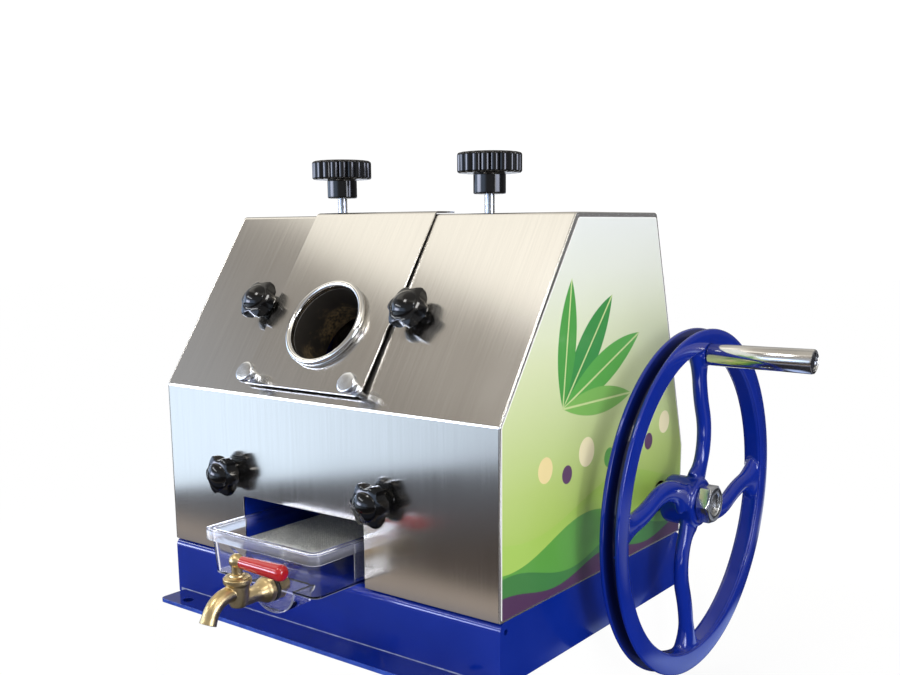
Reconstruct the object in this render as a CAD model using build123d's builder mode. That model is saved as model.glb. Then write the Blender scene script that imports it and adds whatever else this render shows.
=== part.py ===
import os
from math import acos, asin, atan2, cos, degrees, hypot, pi, radians, sin, sqrt, tan

from build123d import *

os.makedirs("parts", exist_ok=True)

# Hand-cranked sugarcane juicer. Millimetres, +Z up, the front faces -Y, the hand wheel is on +X.
# The origin is the middle of the four base bolt holes, at the underside of the base.

# Base: a folded hat section with end plates and a bolt flange along the front and the back
base_width = 400.0
base_depth = 320.0
base_height = 56.0
base_sheet = 3.5
base_bend = 8.0
flange_reach = 32.0
flange_inset = 10.0
flange_corner = 6.0
base_hole_radius = 5.5
base_hole_inset = 38.0
base_hole_out = 19.0
end_hole_radius = 2.5
end_hole_down = 9.0
end_hole_back = 8.0

# Cover: folded sheet with a front wall, a slope, a flat top and a back slope
cover_sheet = 1.5
cover_bend = 5.0
cover_front_height = 157.5
cover_height = 319.5
cover_top_front_y = -51.0
cover_top_depth = 142.5
cover_rear_height = 90.0
cover_gap = 0.5
decal_thickness = 0.3
decal_inset = 4.5
decal_corner = 2.0
panel_shaft_hole_radius = 17.0

# Mill: two cheek plates off the middle of the base, three rollers between them
mill_x = -16.0
cheek_room = 9.5
cheek_thickness = 24.0
cheek_top = 356.0
cheek_rear_top_y = 60.0
cheek_rear_gap = 8.0
cheek_rear_knee_z = 140.0
cheek_bolt_front_y = -110.0
cheek_bolt_rear_y = 70.0
cheek_bolt_radius = 5.0
cheek_bolt_depth = 25.0
bolt_head_flats = 17.0
bolt_head_height = 6.5
bolt_clearance = 0.25
thread_clearance = 0.1
tie_radius = 10.0
tie_end_radius = 6.0
tie_nut_flats = 19.0
tie_nut_height = 10.0
tie_overhang = 2.0
tie_front_y = -125.0
tie_front_z = 150.0
tie_rear_y = 52.0
tie_rear_z = 310.0

roller_radius = 35.5
roller_end_gap = 2.0
roller_half_spread = 39.5
top_roller_z = 240.0
journal_radius = 15.0
seat_radius = 12.5
running_clearance = 0.03
press_gap = 0.01
fit_gap = 0.02
bush_wall = 4.0
bush_flange_reach = 3.0
bush_flange = 1.6
shaft_bush_wall = 5.0
shaft_bush_flange = 2.0

# Gears: long-toothed roller gears on the left, drive gear and pinion on the right
pressure_angle = radians(20.0)
tooth_top = 0.8
tooth_bottom = 1.25
roller_gear_module = 4.0
roller_gear_teeth = 18
roller_gear_backlash = 1.7
roller_gear_width = 20.0
drive_module = 3.0
drive_gear_teeth = 56
pinion_teeth = 15
drive_backlash = 0.6
drive_gear_width = 25.0
drive_gear_hub_radius = 26.0
drive_gear_rim_radius = 72.0
drive_gear_recess = 6.0
drive_gear_holes = 5
drive_gear_hole_radius = 15.0
gear_side_gap = 5.0
key_width = 8.0
key_height = 7.0
key_depth = 4.0
key_top_gap = 0.2
seat_overhang = 2.0

# Top roller carriage: sliding blocks, pads, bridges and pressure screws
block_width = 50.0
block_height = 48.0
slide_clearance = 0.03
block_floor_gap = 0.1
pad_radius = 10.0
pad_height = 8.0
bridge_length = 90.0
bridge_height = 16.0
bridge_bolt_spacing = 72.0
bridge_bolt_radius = 4.0
bridge_bolt_depth = 24.0
bridge_head_radius = 6.5
bridge_head_height = 8.0
screw_radius = 5.0
screw_exposed = 18.0
screw_hole_radius = 8.0
knob_hub_radius = 15.0
knob_hub_height = 18.5
knob_socket_floor = 4.0
knob_cap_radius = 30.0
knob_cap_height = 20.0
knob_flutes = 20
knob_flute_radius = 3.2
knob_flute_depth = 2.0
knob_edge = 2.0

# Feed panel and port on the slope
panel_left_gap = 15.5
panel_right_gap = 21.5
panel_start = 9.0
panel_stand = 5.0
panel_over_top = 26.0
panel_corner = 4.0
port_up = 75.0
port_bore_radius = 35.0
port_wall = 2.0
port_lip_radius = 2.75
port_lip_inset = 0.5
port_lip_out = 14.5
port_depth = 46.0
port_flange_reach = 9.0
port_hole_gap = 4.0
panel_bolt_left_inset = 15.0
panel_bolt_right_inset = 7.0
panel_bolt_up = 15.0
panel_bolt_radius = 3.0
panel_bolt_inside = 12.0
panel_bolt_stand = 11.0
panel_head_radius = 7.8
panel_head_height = 5.0
panel_nut_flats = 10.0
panel_nut_height = 5.0

# Star knobs that hold the cover on the cheeks
star_front_z = 136.0
star_slope_up = 92.0
star_stud_radius = 4.0
star_stud_length = 22.0
star_hub_radius = 10.0
star_hub_height = 7.0
star_core_radius = 14.5
star_lobe_radius = 5.5
star_lobe_reach = 14.5
star_lobes = 6
star_height = 15.0
star_dome_radius = 9.0
star_dome_height = 3.0
star_valley = 2.5
star_gap = 0.3

# Bagasse path
trash_gap = 2.0
trash_half_width = 8.0
trash_wing = 3.0
trash_stem = 4.0
trash_foot_z = 150.0
chute_sheet = 1.5
chute_start_gap = 3.0
chute_start_z = 196.0
chute_reach = 18.0
chute_fall = 27.0
outlet_clearance = 2.0
outlet_height = 78.0

# Wheel shaft, hand wheel and handle
shaft_y = 113.0
shaft_radius = 12.5
shaft_collar_radius = 20.0
shaft_collar_width = 12.0
shaft_collar_gap = 0.5
wheel_front_x = 245.0
wheel_rim_width = 18.5
wheel_radius = 166.0
wheel_rim_depth = 18.0
wheel_groove_depth = 12.0
wheel_groove_top = 11.5
wheel_groove_bottom = 5.5
wheel_edge = 1.5
wheel_hub_radius = 24.5
wheel_hub_length = 35.0
wheel_seat_radius = 11.0
wheel_spokes = 4
wheel_turn = 2.0
spoke_width = 18.0
spoke_depth = 13.0
spoke_start = (3.0, 18.0)
spoke_bulge = (18.5, 52.0)
spoke_bend = (13.0, 86.0)
spoke_bury = 4.0
wheel_thread_radius = 10.0
wheel_nut_flats = 30.0
wheel_nut_height = 12.0
wheel_nut_recess = 1.5
wheel_key_width = 6.0
wheel_key_height = 6.0
wheel_key_depth = 3.5
handle_inset = 24.0
handle_boss_radius = 13.0
handle_gap = 0.5
handle_length = 98.0
handle_root_radius = 10.4
handle_end_radius = 11.25
handle_edge = 1.0
spindle_radius = 6.0
spindle_head_radius = 8.0
spindle_head_height = 3.0
spindle_head_recess = 1.2
spindle_head_gap = 0.4

# Drawer opening, juice tray and strainer
opening_gap = 5.5
opening_height = 59.0
opening_corner = 3.0
tray_shift = -3.5
tray_width = 142.0
tray_stand_out = 54.0
tray_back = 70.0
tray_top = 98.0
tray_floor_gap = 0.1
tray_wall = 2.0
tray_draft = 2.5
tray_rim_reach = 3.5
tray_rim_height = 10.5
tray_rim_wall = 1.5
tray_corner = 12.0
sump_x = -9.0
sump_z = 58.0
sump_radius = 24.5
sump_length = 27.0
strainer_left_room = 40.5
strainer_right_room = 14.5
strainer_front_room = 18.0
strainer_back_room = 30.0
strainer_top = 93.0
strainer_sheet = 1.0
strainer_bend = 3.0
strainer_overhang = 44.0
strainer_rows = 24
strainer_columns = 9
strainer_side_margin = 6.7
strainer_end_margin = 12.2
strainer_hole_radius = 1.9

# Tap in the front wall of the tray
tap_x = -7.0
tap_z = 57.5
tap_reach = 33.0
tap_thread_radius = 6.0
tap_hole_gap = 0.2
tap_thread_inside = 12.0
tap_bore_radius = 3.8
tap_washer_radius = 10.0
tap_washer_thickness = 4.0
tap_flange_radius = 9.5
tap_flange_thickness = 4.5
tap_neck_radius = 6.5
tap_nut_flats = 19.0
tap_nut_height = 6.0
tap_bottom_z = 51.5
tap_floor = 1.5
tap_body_top_z = 71.0
tap_collar_top_z = 78.0
tap_body_low_radius = 8.5
tap_body_high_radius = 10.5
tap_collar_radius = 12.0
tap_plug_radius = 6.0
tap_stem_radius = 4.6
tap_stem_top_z = 87.0
spout_radius = 6.8
# the spout's line: Y from the tap's axis, and Z
spout_points = [(-2.0, 62.0), (-12.0, 69.0), (-21.5, 61.0), (-29.0, 46.0)]
lever_z = 91.5
lever_hub_radius = 6.2
lever_arm_radius = 3.6
lever_arm_length = 46.0
sleeve_start = 7.0
sleeve_length = 51.0
sleeve_root_radius = 5.4
sleeve_end_radius = 7.0
sleeve_cap = 5.0

# Values worked out from the sizes above
front_y = -base_depth / 2
rear_y = base_depth / 2
knee_z = base_height + cover_front_height
top_z = base_height + cover_height
cover_slope_run = cover_top_front_y - front_y
slope_rise = cover_height - cover_front_height
slope_length = hypot(cover_slope_run, slope_rise)
slope_cos = cover_slope_run / slope_length
slope_sin = slope_rise / slope_length
top_front_y = front_y + cover_slope_run
top_rear_y = top_front_y + cover_top_depth
rear_knee_z = base_height + cover_rear_height
cheek_rear_y = rear_y - cheek_rear_gap
cheek_spacing = tray_width + 2 * cheek_room
left_cheek_x = mill_x - cheek_spacing / 2 - cheek_thickness / 2
right_cheek_x = mill_x + cheek_spacing / 2 + cheek_thickness / 2
left_outer_x = left_cheek_x - cheek_thickness / 2
right_outer_x = right_cheek_x + cheek_thickness / 2
left_inner_x = left_cheek_x + cheek_thickness / 2
right_inner_x = right_cheek_x - cheek_thickness / 2
panel_left = left_cheek_x + panel_left_gap
panel_right = right_cheek_x - panel_right_gap
panel_bolt_left = panel_left + panel_bolt_left_inset
panel_bolt_right = panel_right - panel_bolt_right_inset
tray_x = mill_x + tray_shift
tray_front = front_y - tray_stand_out
opening_left = tray_x - tray_width / 2 - opening_gap
opening_right = tray_x + tray_width / 2 + opening_gap
strainer_left = tray_x - tray_width / 2 + strainer_left_room
strainer_right = tray_x + tray_width / 2 - strainer_right_room
strainer_front = tray_front + strainer_front_room
strainer_back = tray_back - strainer_back_room
tap_y = tray_front - tap_reach
roller_distance = roller_gear_module * roller_gear_teeth
lower_roller_z = top_roller_z - sqrt(roller_distance**2 - roller_half_spread**2)
drive_distance = drive_module * (drive_gear_teeth + pinion_teeth) / 2
shaft_z = lower_roller_z - sqrt(drive_distance**2 - (shaft_y - roller_half_spread) ** 2)
roller_length = cheek_spacing - 2 * roller_end_gap
roller_gear_x = left_outer_x - gear_side_gap
drive_gear_x = right_outer_x + gear_side_gap
bush_radius = journal_radius + bush_wall
shaft_bush_radius = shaft_radius + shaft_bush_wall
block_bottom = top_roller_z - block_height / 2
block_top = top_roller_z + block_height / 2
slot_floor = block_bottom - block_floor_gap
screw_bottom = block_top + pad_height
knob_bottom = top_z + screw_exposed
wheel_inner_radius = wheel_radius - wheel_rim_depth
spoke_end = (0.0, wheel_inner_radius + spoke_bury)
handle_offset = wheel_radius - handle_inset
wheel_hub_x = wheel_front_x - wheel_hub_length
wheel_mid_x = wheel_front_x - wheel_rim_width / 2
base_hole_x = base_width / 2 - base_hole_inset
base_hole_y = base_depth / 2 + base_hole_out


def slope_point(up, out):
    # a point of the slope's outer face, in Y and Z, moved out along its normal
    return (
        front_y + up * slope_cos - out * slope_sin,
        knee_z + up * slope_sin + out * slope_cos,
    )


def slope_plane(x, up, out):
    # a plane on the slope: local X to the right, local Y up the slope, normal outward
    y, z = slope_point(up, out)
    return Plane(origin=(x, y, z), x_dir=(1, 0, 0), z_dir=(0, -slope_sin, slope_cos))


def cover_outline(inset, bottom):
    # corners of the cover's side view, moved inward by the inset on the folded sides
    corners = [
        (front_y, bottom),
        (front_y, knee_z),
        (top_front_y, top_z),
        (top_rear_y, top_z),
        (rear_y, rear_knee_z),
        (rear_y, bottom),
    ]
    moved = [(front_y + inset, bottom)]
    for i in range(1, 5):
        before, here, after = corners[i - 1], corners[i], corners[i + 1]
        first = (here[0] - before[0], here[1] - before[1])
        second = (after[0] - here[0], after[1] - here[1])
        first_length = hypot(first[0], first[1])
        second_length = hypot(second[0], second[1])
        first_in = (first[1] / first_length, -first[0] / first_length)
        second_in = (second[1] / second_length, -second[0] / second_length)
        share = inset / (1 + first_in[0] * second_in[0] + first_in[1] * second_in[1])
        moved.append(
            (
                here[0] + share * (first_in[0] + second_in[0]),
                here[1] + share * (first_in[1] + second_in[1]),
            )
        )
    moved.append((rear_y - inset, bottom))
    return moved


def gear_outline(teeth, module, backlash, first_tooth):
    # corners of a spur gear; each flank is made of straight chords of the involute
    pitch_radius = module * teeth / 2
    base_radius = pitch_radius * cos(pressure_angle)
    tip_radius = pitch_radius + tooth_top * module
    root_radius = pitch_radius - tooth_bottom * module
    start_radius = max(base_radius, root_radius)
    pitch_half = (pi / 2 - backlash / module) / teeth
    pitch_involute = tan(pressure_angle) - pressure_angle
    flank = []
    for step in range(4):
        radius = start_radius + (tip_radius - start_radius) * step / 3
        angle = acos(min(1.0, base_radius / radius))
        flank.append((radius, pitch_half + pitch_involute - (tan(angle) - angle)))
    if root_radius < start_radius:
        flank.insert(0, (root_radius, flank[0][1]))
    points = []
    for tooth in range(teeth):
        middle = radians(first_tooth) + 2 * pi * tooth / teeth
        for radius, half in flank:
            points.append((radius * cos(middle - half), radius * sin(middle - half)))
        for radius, half in reversed(flank):
            points.append((radius * cos(middle + half), radius * sin(middle + half)))
    return points


def mesh_angle(direction, first_tooth, first_teeth, second_teeth):
    # tooth angle of the second gear so that its gap meets the first gear's tooth
    phase = ((direction - first_tooth) * first_teeth / 360) % 1
    other = (-phase - 0.5) % 1
    return direction + 180 - other * 360 / second_teeth


def x_plane(x, y, z):
    # a plane across the X axis: local X along Y, local Y along Z
    return Plane(origin=(x, y, z), x_dir=(0, 1, 0), z_dir=(1, 0, 0))


# Base: the hat section, open at both ends
with BuildPart() as base_frame:
    with BuildSketch(Plane.YZ.offset(-base_width / 2 + base_sheet)):
        Rectangle(base_depth, base_height, align=(Align.CENTER, Align.MIN))
        fillet(vertices().group_by(Axis.Y)[-1], base_bend)
    extrude(amount=base_width - 2 * base_sheet)
    with BuildSketch(Plane.YZ.offset(-base_width / 2 + base_sheet)):
        Rectangle(
            base_depth - 2 * base_sheet,
            base_height - base_sheet,
            align=(Align.CENTER, Align.MIN),
        )
        fillet(vertices().group_by(Axis.Y)[-1], base_bend - base_sheet)
    extrude(amount=base_width - 2 * base_sheet, mode=Mode.SUBTRACT)
    with BuildSketch(Plane.XY):
        for side in (-1, 1):
            with Locations((0, side * (base_depth / 2 + flange_reach / 2))):
                Rectangle(base_width - 2 * flange_inset, flange_reach)
        far_corners = vertices().group_by(Axis.Y)
        fillet(far_corners[0] + far_corners[-1], flange_corner)
        with GridLocations(2 * base_hole_x, 2 * base_hole_y, 2, 2):
            Circle(base_hole_radius, mode=Mode.SUBTRACT)
    extrude(amount=base_sheet)
    with BuildSketch(Plane.XY.offset(base_height - base_sheet)):
        for cheek_x in (left_cheek_x, right_cheek_x):
            for bolt_y in (cheek_bolt_front_y, cheek_bolt_rear_y):
                with Locations((cheek_x, bolt_y)):
                    Circle(cheek_bolt_radius + bolt_clearance)
    extrude(amount=base_sheet, mode=Mode.SUBTRACT)
base_frame.part.label = "base_frame"
export_step(base_frame.part, "parts/base_frame.step")

# End plates that close the hat section, each with a small hole near its front top corner
with BuildPart() as base_end_plates:
    for plate_x in (-base_width / 2, base_width / 2 - base_sheet):
        with BuildSketch(Plane.YZ.offset(plate_x)):
            Rectangle(base_depth, base_height, align=(Align.CENTER, Align.MIN))
            fillet(vertices().group_by(Axis.Y)[-1], base_bend)
            with Locations((front_y + end_hole_back, base_height - end_hole_down)):
                Circle(end_hole_radius, mode=Mode.SUBTRACT)
        extrude(amount=base_sheet)
base_end_plates.part.label = "base_end_plates"
export_step(base_end_plates.part, "parts/base_end_plates.step")

# Cover, folded from one sheet, open below and at both ends
with BuildPart() as cover:
    with BuildSketch(Plane.YZ.offset(-base_width / 2 + cover_sheet)):
        with BuildLine():
            Polyline(cover_outline(0, base_height), close=True)
        make_face()
        fillet(vertices().group_by(Axis.Y)[1:], cover_bend)
    extrude(amount=base_width - 2 * cover_sheet)
    with BuildSketch(Plane.YZ.offset(-base_width / 2 + cover_sheet)):
        with BuildLine():
            Polyline(cover_outline(cover_sheet, base_height), close=True)
        make_face()
        fillet(vertices().group_by(Axis.Y)[1:], cover_bend - cover_sheet)
    extrude(amount=base_width - 2 * cover_sheet, mode=Mode.SUBTRACT)
    with BuildSketch(Plane.XZ.offset(base_depth / 2)):
        with Locations(((opening_left + opening_right) / 2, base_height)):
            Rectangle(opening_right - opening_left, 2 * opening_height)
        fillet(vertices().group_by(Axis.Y)[-1], opening_corner)
        for cheek_x in (left_cheek_x, right_cheek_x):
            with Locations((cheek_x, star_front_z)):
                Circle(star_stud_radius + bolt_clearance)
    extrude(amount=-2 * cover_sheet, mode=Mode.SUBTRACT)
    with BuildSketch(slope_plane(0, 0, 0)):
        with Locations((mill_x, port_up)):
            Circle(port_bore_radius + port_wall + port_flange_reach + port_hole_gap)
        for cheek_x in (left_cheek_x, right_cheek_x):
            with Locations((cheek_x, star_slope_up)):
                Circle(star_stud_radius + bolt_clearance)
        for bolt_x in (panel_bolt_left, panel_bolt_right):
            with Locations((bolt_x, panel_bolt_up)):
                Circle(panel_bolt_radius + bolt_clearance)
    extrude(amount=-2 * cover_sheet, mode=Mode.SUBTRACT)
    with BuildSketch(Plane.XY.offset(top_z)):
        for cheek_x in (left_cheek_x, right_cheek_x):
            with Locations((cheek_x, 0)):
                Circle(screw_hole_radius)
    extrude(amount=-2 * cover_sheet, mode=Mode.SUBTRACT)
    with BuildSketch(Plane.XZ.offset(-base_depth / 2)):
        with Locations((mill_x, rear_knee_z + cover_bend)):
            Rectangle(
                cheek_spacing + 2 * outlet_clearance,
                outlet_height,
                align=(Align.CENTER, Align.MIN),
            )
    extrude(amount=base_depth / 4, mode=Mode.SUBTRACT)
cover.part.label = "cover"
export_step(cover.part, "parts/cover.step")

# Side panels close the ends of the cover
with BuildPart() as left_side_panel:
    with BuildSketch(Plane.YZ.offset(-base_width / 2)):
        with BuildLine():
            Polyline(cover_outline(0, base_height), close=True)
        make_face()
        fillet(vertices().group_by(Axis.Y)[1:], cover_bend)
    extrude(amount=cover_sheet)
left_side_panel.part.label = "left_side_panel"
export_step(left_side_panel.part, "parts/left_side_panel.step")

with BuildPart() as right_side_panel:
    with BuildSketch(Plane.YZ.offset(base_width / 2 - cover_sheet)):
        with BuildLine():
            Polyline(cover_outline(0, base_height), close=True)
        make_face()
        fillet(vertices().group_by(Axis.Y)[1:], cover_bend)
        with Locations((shaft_y, shaft_z)):
            Circle(panel_shaft_hole_radius, mode=Mode.SUBTRACT)
    extrude(amount=cover_sheet)
right_side_panel.part.label = "right_side_panel"
export_step(right_side_panel.part, "parts/right_side_panel.step")

with BuildPart() as side_decal:
    with BuildSketch(Plane.YZ.offset(base_width / 2)):
        with BuildLine():
            Polyline(cover_outline(decal_inset, base_height + decal_inset), close=True)
        make_face()
        fillet(vertices(), decal_corner)
        with Locations((shaft_y, shaft_z)):
            Circle(panel_shaft_hole_radius, mode=Mode.SUBTRACT)
    extrude(amount=decal_thickness)
side_decal.part.label = "side_decal"
export_step(side_decal.part, "parts/side_decal.step")

# Feed panel: a shallow pan over the slope that is folded over the front of the top
panel_width = panel_right - panel_left


def panel_profile(start, stand, end):
    # side view of the pan between the cover's face and its own outer face
    outer = cover_outline(-stand, base_height)[2]
    return [
        slope_point(start, 0),
        slope_point(start, stand),
        outer,
        (end, top_z + stand),
        (end, top_z),
        (top_front_y, top_z),
    ]


panel_end_y = top_front_y + panel_over_top
with BuildPart() as feed_panel:
    with BuildSketch(Plane.YZ.offset(panel_left)):
        with BuildLine():
            Polyline(panel_profile(panel_start, panel_stand, panel_end_y), close=True)
        make_face()
    extrude(amount=panel_width)
    low_corners = edges().filter_by(Axis((0, 0, 0), (0, -slope_sin, slope_cos)))
    fillet(low_corners.sort_by(Axis.Z)[:2], panel_corner)
    inner_profile = panel_profile(
        panel_start + cover_sheet, panel_stand - cover_sheet, panel_end_y - cover_sheet
    )
    with BuildSketch(Plane.YZ.offset(panel_left + cover_sheet)):
        with BuildLine():
            Polyline(inner_profile, close=True)
        make_face()
    extrude(amount=panel_width - 2 * cover_sheet, mode=Mode.SUBTRACT)
    fillet(edges().filter_by(Axis.X).sort_by(Axis.Z)[-2:], cover_sheet)
    with BuildSketch(slope_plane(0, 0, panel_stand)):
        with Locations((mill_x, port_up)):
            Circle(port_bore_radius + port_wall + press_gap)
        for bolt_x in (panel_bolt_left, panel_bolt_right):
            with Locations((bolt_x, panel_bolt_up)):
                Circle(panel_bolt_radius + thread_clearance)
    extrude(amount=-2 * cover_sheet, mode=Mode.SUBTRACT)
feed_panel.part.label = "feed_panel"
export_step(feed_panel.part, "parts/feed_panel.step")

# Feed port: tube with a rolled lip, its inner flange is welded under the feed panel
with BuildPart() as feed_port:
    with BuildSketch(slope_plane(mill_x, port_up, -port_depth)):
        Circle(port_bore_radius + port_wall)
    extrude(amount=port_depth + port_lip_out)
    with BuildSketch(slope_plane(mill_x, port_up, panel_stand - cover_sheet)):
        Circle(port_bore_radius + port_wall + port_flange_reach)
    extrude(amount=-cover_sheet)
    with BuildSketch(slope_plane(mill_x, port_up, -port_depth)):
        Circle(port_bore_radius)
    extrude(amount=port_depth + port_lip_out, mode=Mode.SUBTRACT)
    with Locations(slope_plane(mill_x, port_up, port_lip_out)):
        Torus(port_bore_radius + port_lip_radius - port_lip_inset, port_lip_radius)
feed_port.part.label = "feed_port"
export_step(feed_port.part, "parts/feed_port.step")

with BuildPart() as panel_bolts:
    for bolt_x in (panel_bolt_left, panel_bolt_right):
        with BuildSketch(slope_plane(bolt_x, panel_bolt_up, -panel_bolt_inside)):
            Circle(panel_bolt_radius)
        extrude(amount=panel_bolt_inside + panel_stand + panel_bolt_stand)
        with BuildSketch(slope_plane(bolt_x, panel_bolt_up, panel_stand + panel_bolt_stand)):
            Circle(panel_head_radius)
        extrude(amount=panel_head_height)
panel_bolts.part.label = "panel_bolts"
export_step(panel_bolts.part, "parts/panel_bolts.step")

with BuildPart() as panel_nuts:
    for bolt_x in (panel_bolt_left, panel_bolt_right):
        with BuildSketch(slope_plane(bolt_x, panel_bolt_up, panel_stand)):
            RegularPolygon(panel_nut_flats / 2, 6, major_radius=False)
            Circle(panel_bolt_radius + thread_clearance, mode=Mode.SUBTRACT)
        extrude(amount=panel_nut_height)
panel_nuts.part.label = "panel_nuts"
export_step(panel_nuts.part, "parts/panel_nuts.step")

# Cheek plates
cheek_front_inset = cover_sheet + cover_gap
cheek_knee = cover_outline(cheek_front_inset, base_height)[1]
cheek_top_y = cheek_knee[0] + (cheek_top - cheek_knee[1]) * slope_cos / slope_sin
cheek_points = [
    (front_y + cheek_front_inset, base_height),
    cheek_knee,
    (cheek_top_y, cheek_top),
    (cheek_rear_top_y, cheek_top),
    (cheek_rear_y, cheek_rear_knee_z),
    (cheek_rear_y, base_height),
]
bush_centres = [(-roller_half_spread, lower_roller_z), (roller_half_spread, lower_roller_z)]
tie_centres = [(tie_front_y, tie_front_z), (tie_rear_y, tie_rear_z)]

with BuildPart() as left_cheek:
    with BuildSketch(Plane.YZ.offset(left_outer_x)):
        with BuildLine():
            Polyline(cheek_points, close=True)
        make_face()
        with Locations((0, slot_floor)):
            Rectangle(
                block_width + 2 * slide_clearance,
                cheek_top,
                align=(Align.CENTER, Align.MIN),
                mode=Mode.SUBTRACT,
            )
        with Locations(*bush_centres):
            Circle(bush_radius + press_gap, mode=Mode.SUBTRACT)
        with Locations((shaft_y, shaft_z)):
            Circle(shaft_bush_radius + press_gap, mode=Mode.SUBTRACT)
        with Locations(*tie_centres):
            Circle(tie_end_radius + bolt_clearance, mode=Mode.SUBTRACT)
    extrude(amount=cheek_thickness)
    with BuildSketch(Plane.XY.offset(base_height)):
        with Locations((left_cheek_x, cheek_bolt_front_y), (left_cheek_x, cheek_bolt_rear_y)):
            Circle(cheek_bolt_radius + thread_clearance)
    extrude(amount=cheek_bolt_depth + bolt_clearance, mode=Mode.SUBTRACT)
    with BuildSketch(Plane.XZ.offset(base_depth / 2)):
        with Locations((left_cheek_x, star_front_z)):
            Circle(star_stud_radius + thread_clearance)
    extrude(amount=-star_stud_length - bolt_clearance, mode=Mode.SUBTRACT)
    with BuildSketch(slope_plane(left_cheek_x, star_slope_up, 0)):
        Circle(star_stud_radius + thread_clearance)
    extrude(amount=-star_stud_length - bolt_clearance, mode=Mode.SUBTRACT)
    with BuildSketch(Plane.XY.offset(cheek_top)):
        with Locations((left_cheek_x, -bridge_bolt_spacing / 2), (left_cheek_x, bridge_bolt_spacing / 2)):
            Circle(bridge_bolt_radius + thread_clearance)
    extrude(amount=-bridge_bolt_depth - bolt_clearance, mode=Mode.SUBTRACT)
left_cheek.part.label = "left_cheek"
export_step(left_cheek.part, "parts/left_cheek.step")

with BuildPart() as right_cheek:
    with BuildSketch(Plane.YZ.offset(right_inner_x)):
        with BuildLine():
            Polyline(cheek_points, close=True)
        make_face()
        with Locations((0, slot_floor)):
            Rectangle(
                block_width + 2 * slide_clearance,
                cheek_top,
                align=(Align.CENTER, Align.MIN),
                mode=Mode.SUBTRACT,
            )
        with Locations(*bush_centres):
            Circle(bush_radius + press_gap, mode=Mode.SUBTRACT)
        with Locations((shaft_y, shaft_z)):
            Circle(shaft_bush_radius + press_gap, mode=Mode.SUBTRACT)
        with Locations(*tie_centres):
            Circle(tie_end_radius + bolt_clearance, mode=Mode.SUBTRACT)
    extrude(amount=cheek_thickness)
    with BuildSketch(Plane.XY.offset(base_height)):
        with Locations((right_cheek_x, cheek_bolt_front_y), (right_cheek_x, cheek_bolt_rear_y)):
            Circle(cheek_bolt_radius + thread_clearance)
    extrude(amount=cheek_bolt_depth + bolt_clearance, mode=Mode.SUBTRACT)
    with BuildSketch(Plane.XZ.offset(base_depth / 2)):
        with Locations((right_cheek_x, star_front_z)):
            Circle(star_stud_radius + thread_clearance)
    extrude(amount=-star_stud_length - bolt_clearance, mode=Mode.SUBTRACT)
    with BuildSketch(slope_plane(right_cheek_x, star_slope_up, 0)):
        Circle(star_stud_radius + thread_clearance)
    extrude(amount=-star_stud_length - bolt_clearance, mode=Mode.SUBTRACT)
    with BuildSketch(Plane.XY.offset(cheek_top)):
        with Locations((right_cheek_x, -bridge_bolt_spacing / 2), (right_cheek_x, bridge_bolt_spacing / 2)):
            Circle(bridge_bolt_radius + thread_clearance)
    extrude(amount=-bridge_bolt_depth - bolt_clearance, mode=Mode.SUBTRACT)
right_cheek.part.label = "right_cheek"
export_step(right_cheek.part, "parts/right_cheek.step")

# Bolts through the deck into the cheeks
with BuildPart() as cheek_bolts:
    for cheek_x in (left_cheek_x, right_cheek_x):
        for bolt_y in (cheek_bolt_front_y, cheek_bolt_rear_y):
            with BuildSketch(Plane.XY.offset(base_height - base_sheet)):
                with Locations((cheek_x, bolt_y)):
                    RegularPolygon(bolt_head_flats / 2, 6, major_radius=False)
            extrude(amount=-bolt_head_height)
            with BuildSketch(Plane.XY.offset(base_height - base_sheet)):
                with Locations((cheek_x, bolt_y)):
                    Circle(cheek_bolt_radius)
            extrude(amount=base_sheet + cheek_bolt_depth)
cheek_bolts.part.label = "cheek_bolts"
export_step(cheek_bolts.part, "parts/cheek_bolts.step")

# Tie bars between the cheeks, with a nut on each end
tie_end = cheek_thickness + tie_nut_height + tie_overhang
with BuildPart() as tie_bars:
    for tie_y, tie_z in tie_centres:
        with BuildSketch(x_plane(left_inner_x, tie_y, tie_z)):
            Circle(tie_radius)
        extrude(amount=cheek_spacing)
        with BuildSketch(x_plane(left_inner_x - tie_end, tie_y, tie_z)):
            Circle(tie_end_radius)
        extrude(amount=cheek_spacing + 2 * tie_end)
tie_bars.part.label = "tie_bars"
export_step(tie_bars.part, "parts/tie_bars.step")

with BuildPart() as tie_nuts:
    for tie_y, tie_z in tie_centres:
        for nut_x in (left_outer_x - tie_nut_height, right_outer_x):
            with BuildSketch(x_plane(nut_x, tie_y, tie_z)):
                RegularPolygon(tie_nut_flats / 2, 6, major_radius=False)
                Circle(tie_end_radius + thread_clearance, mode=Mode.SUBTRACT)
            extrude(amount=tie_nut_height)
tie_nuts.part.label = "tie_nuts"
export_step(tie_nuts.part, "parts/tie_nuts.step")

# Bushes, each with a thrust flange
with BuildPart() as lower_roller_bushes:
    for bush_y, bush_z in bush_centres:
        for outer_x, flange_x in (
            (left_outer_x, left_inner_x),
            (right_inner_x, right_inner_x - bush_flange),
        ):
            with BuildSketch(x_plane(outer_x, bush_y, bush_z)):
                Circle(bush_radius)
            extrude(amount=cheek_thickness)
            with BuildSketch(x_plane(flange_x, bush_y, bush_z)):
                Circle(bush_radius + bush_flange_reach)
            extrude(amount=bush_flange)
        with BuildSketch(x_plane(left_outer_x, bush_y, bush_z)):
            Circle(journal_radius + running_clearance)
        extrude(amount=right_outer_x - left_outer_x, mode=Mode.SUBTRACT)
lower_roller_bushes.part.label = "lower_roller_bushes"
export_step(lower_roller_bushes.part, "parts/lower_roller_bushes.step")

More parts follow.
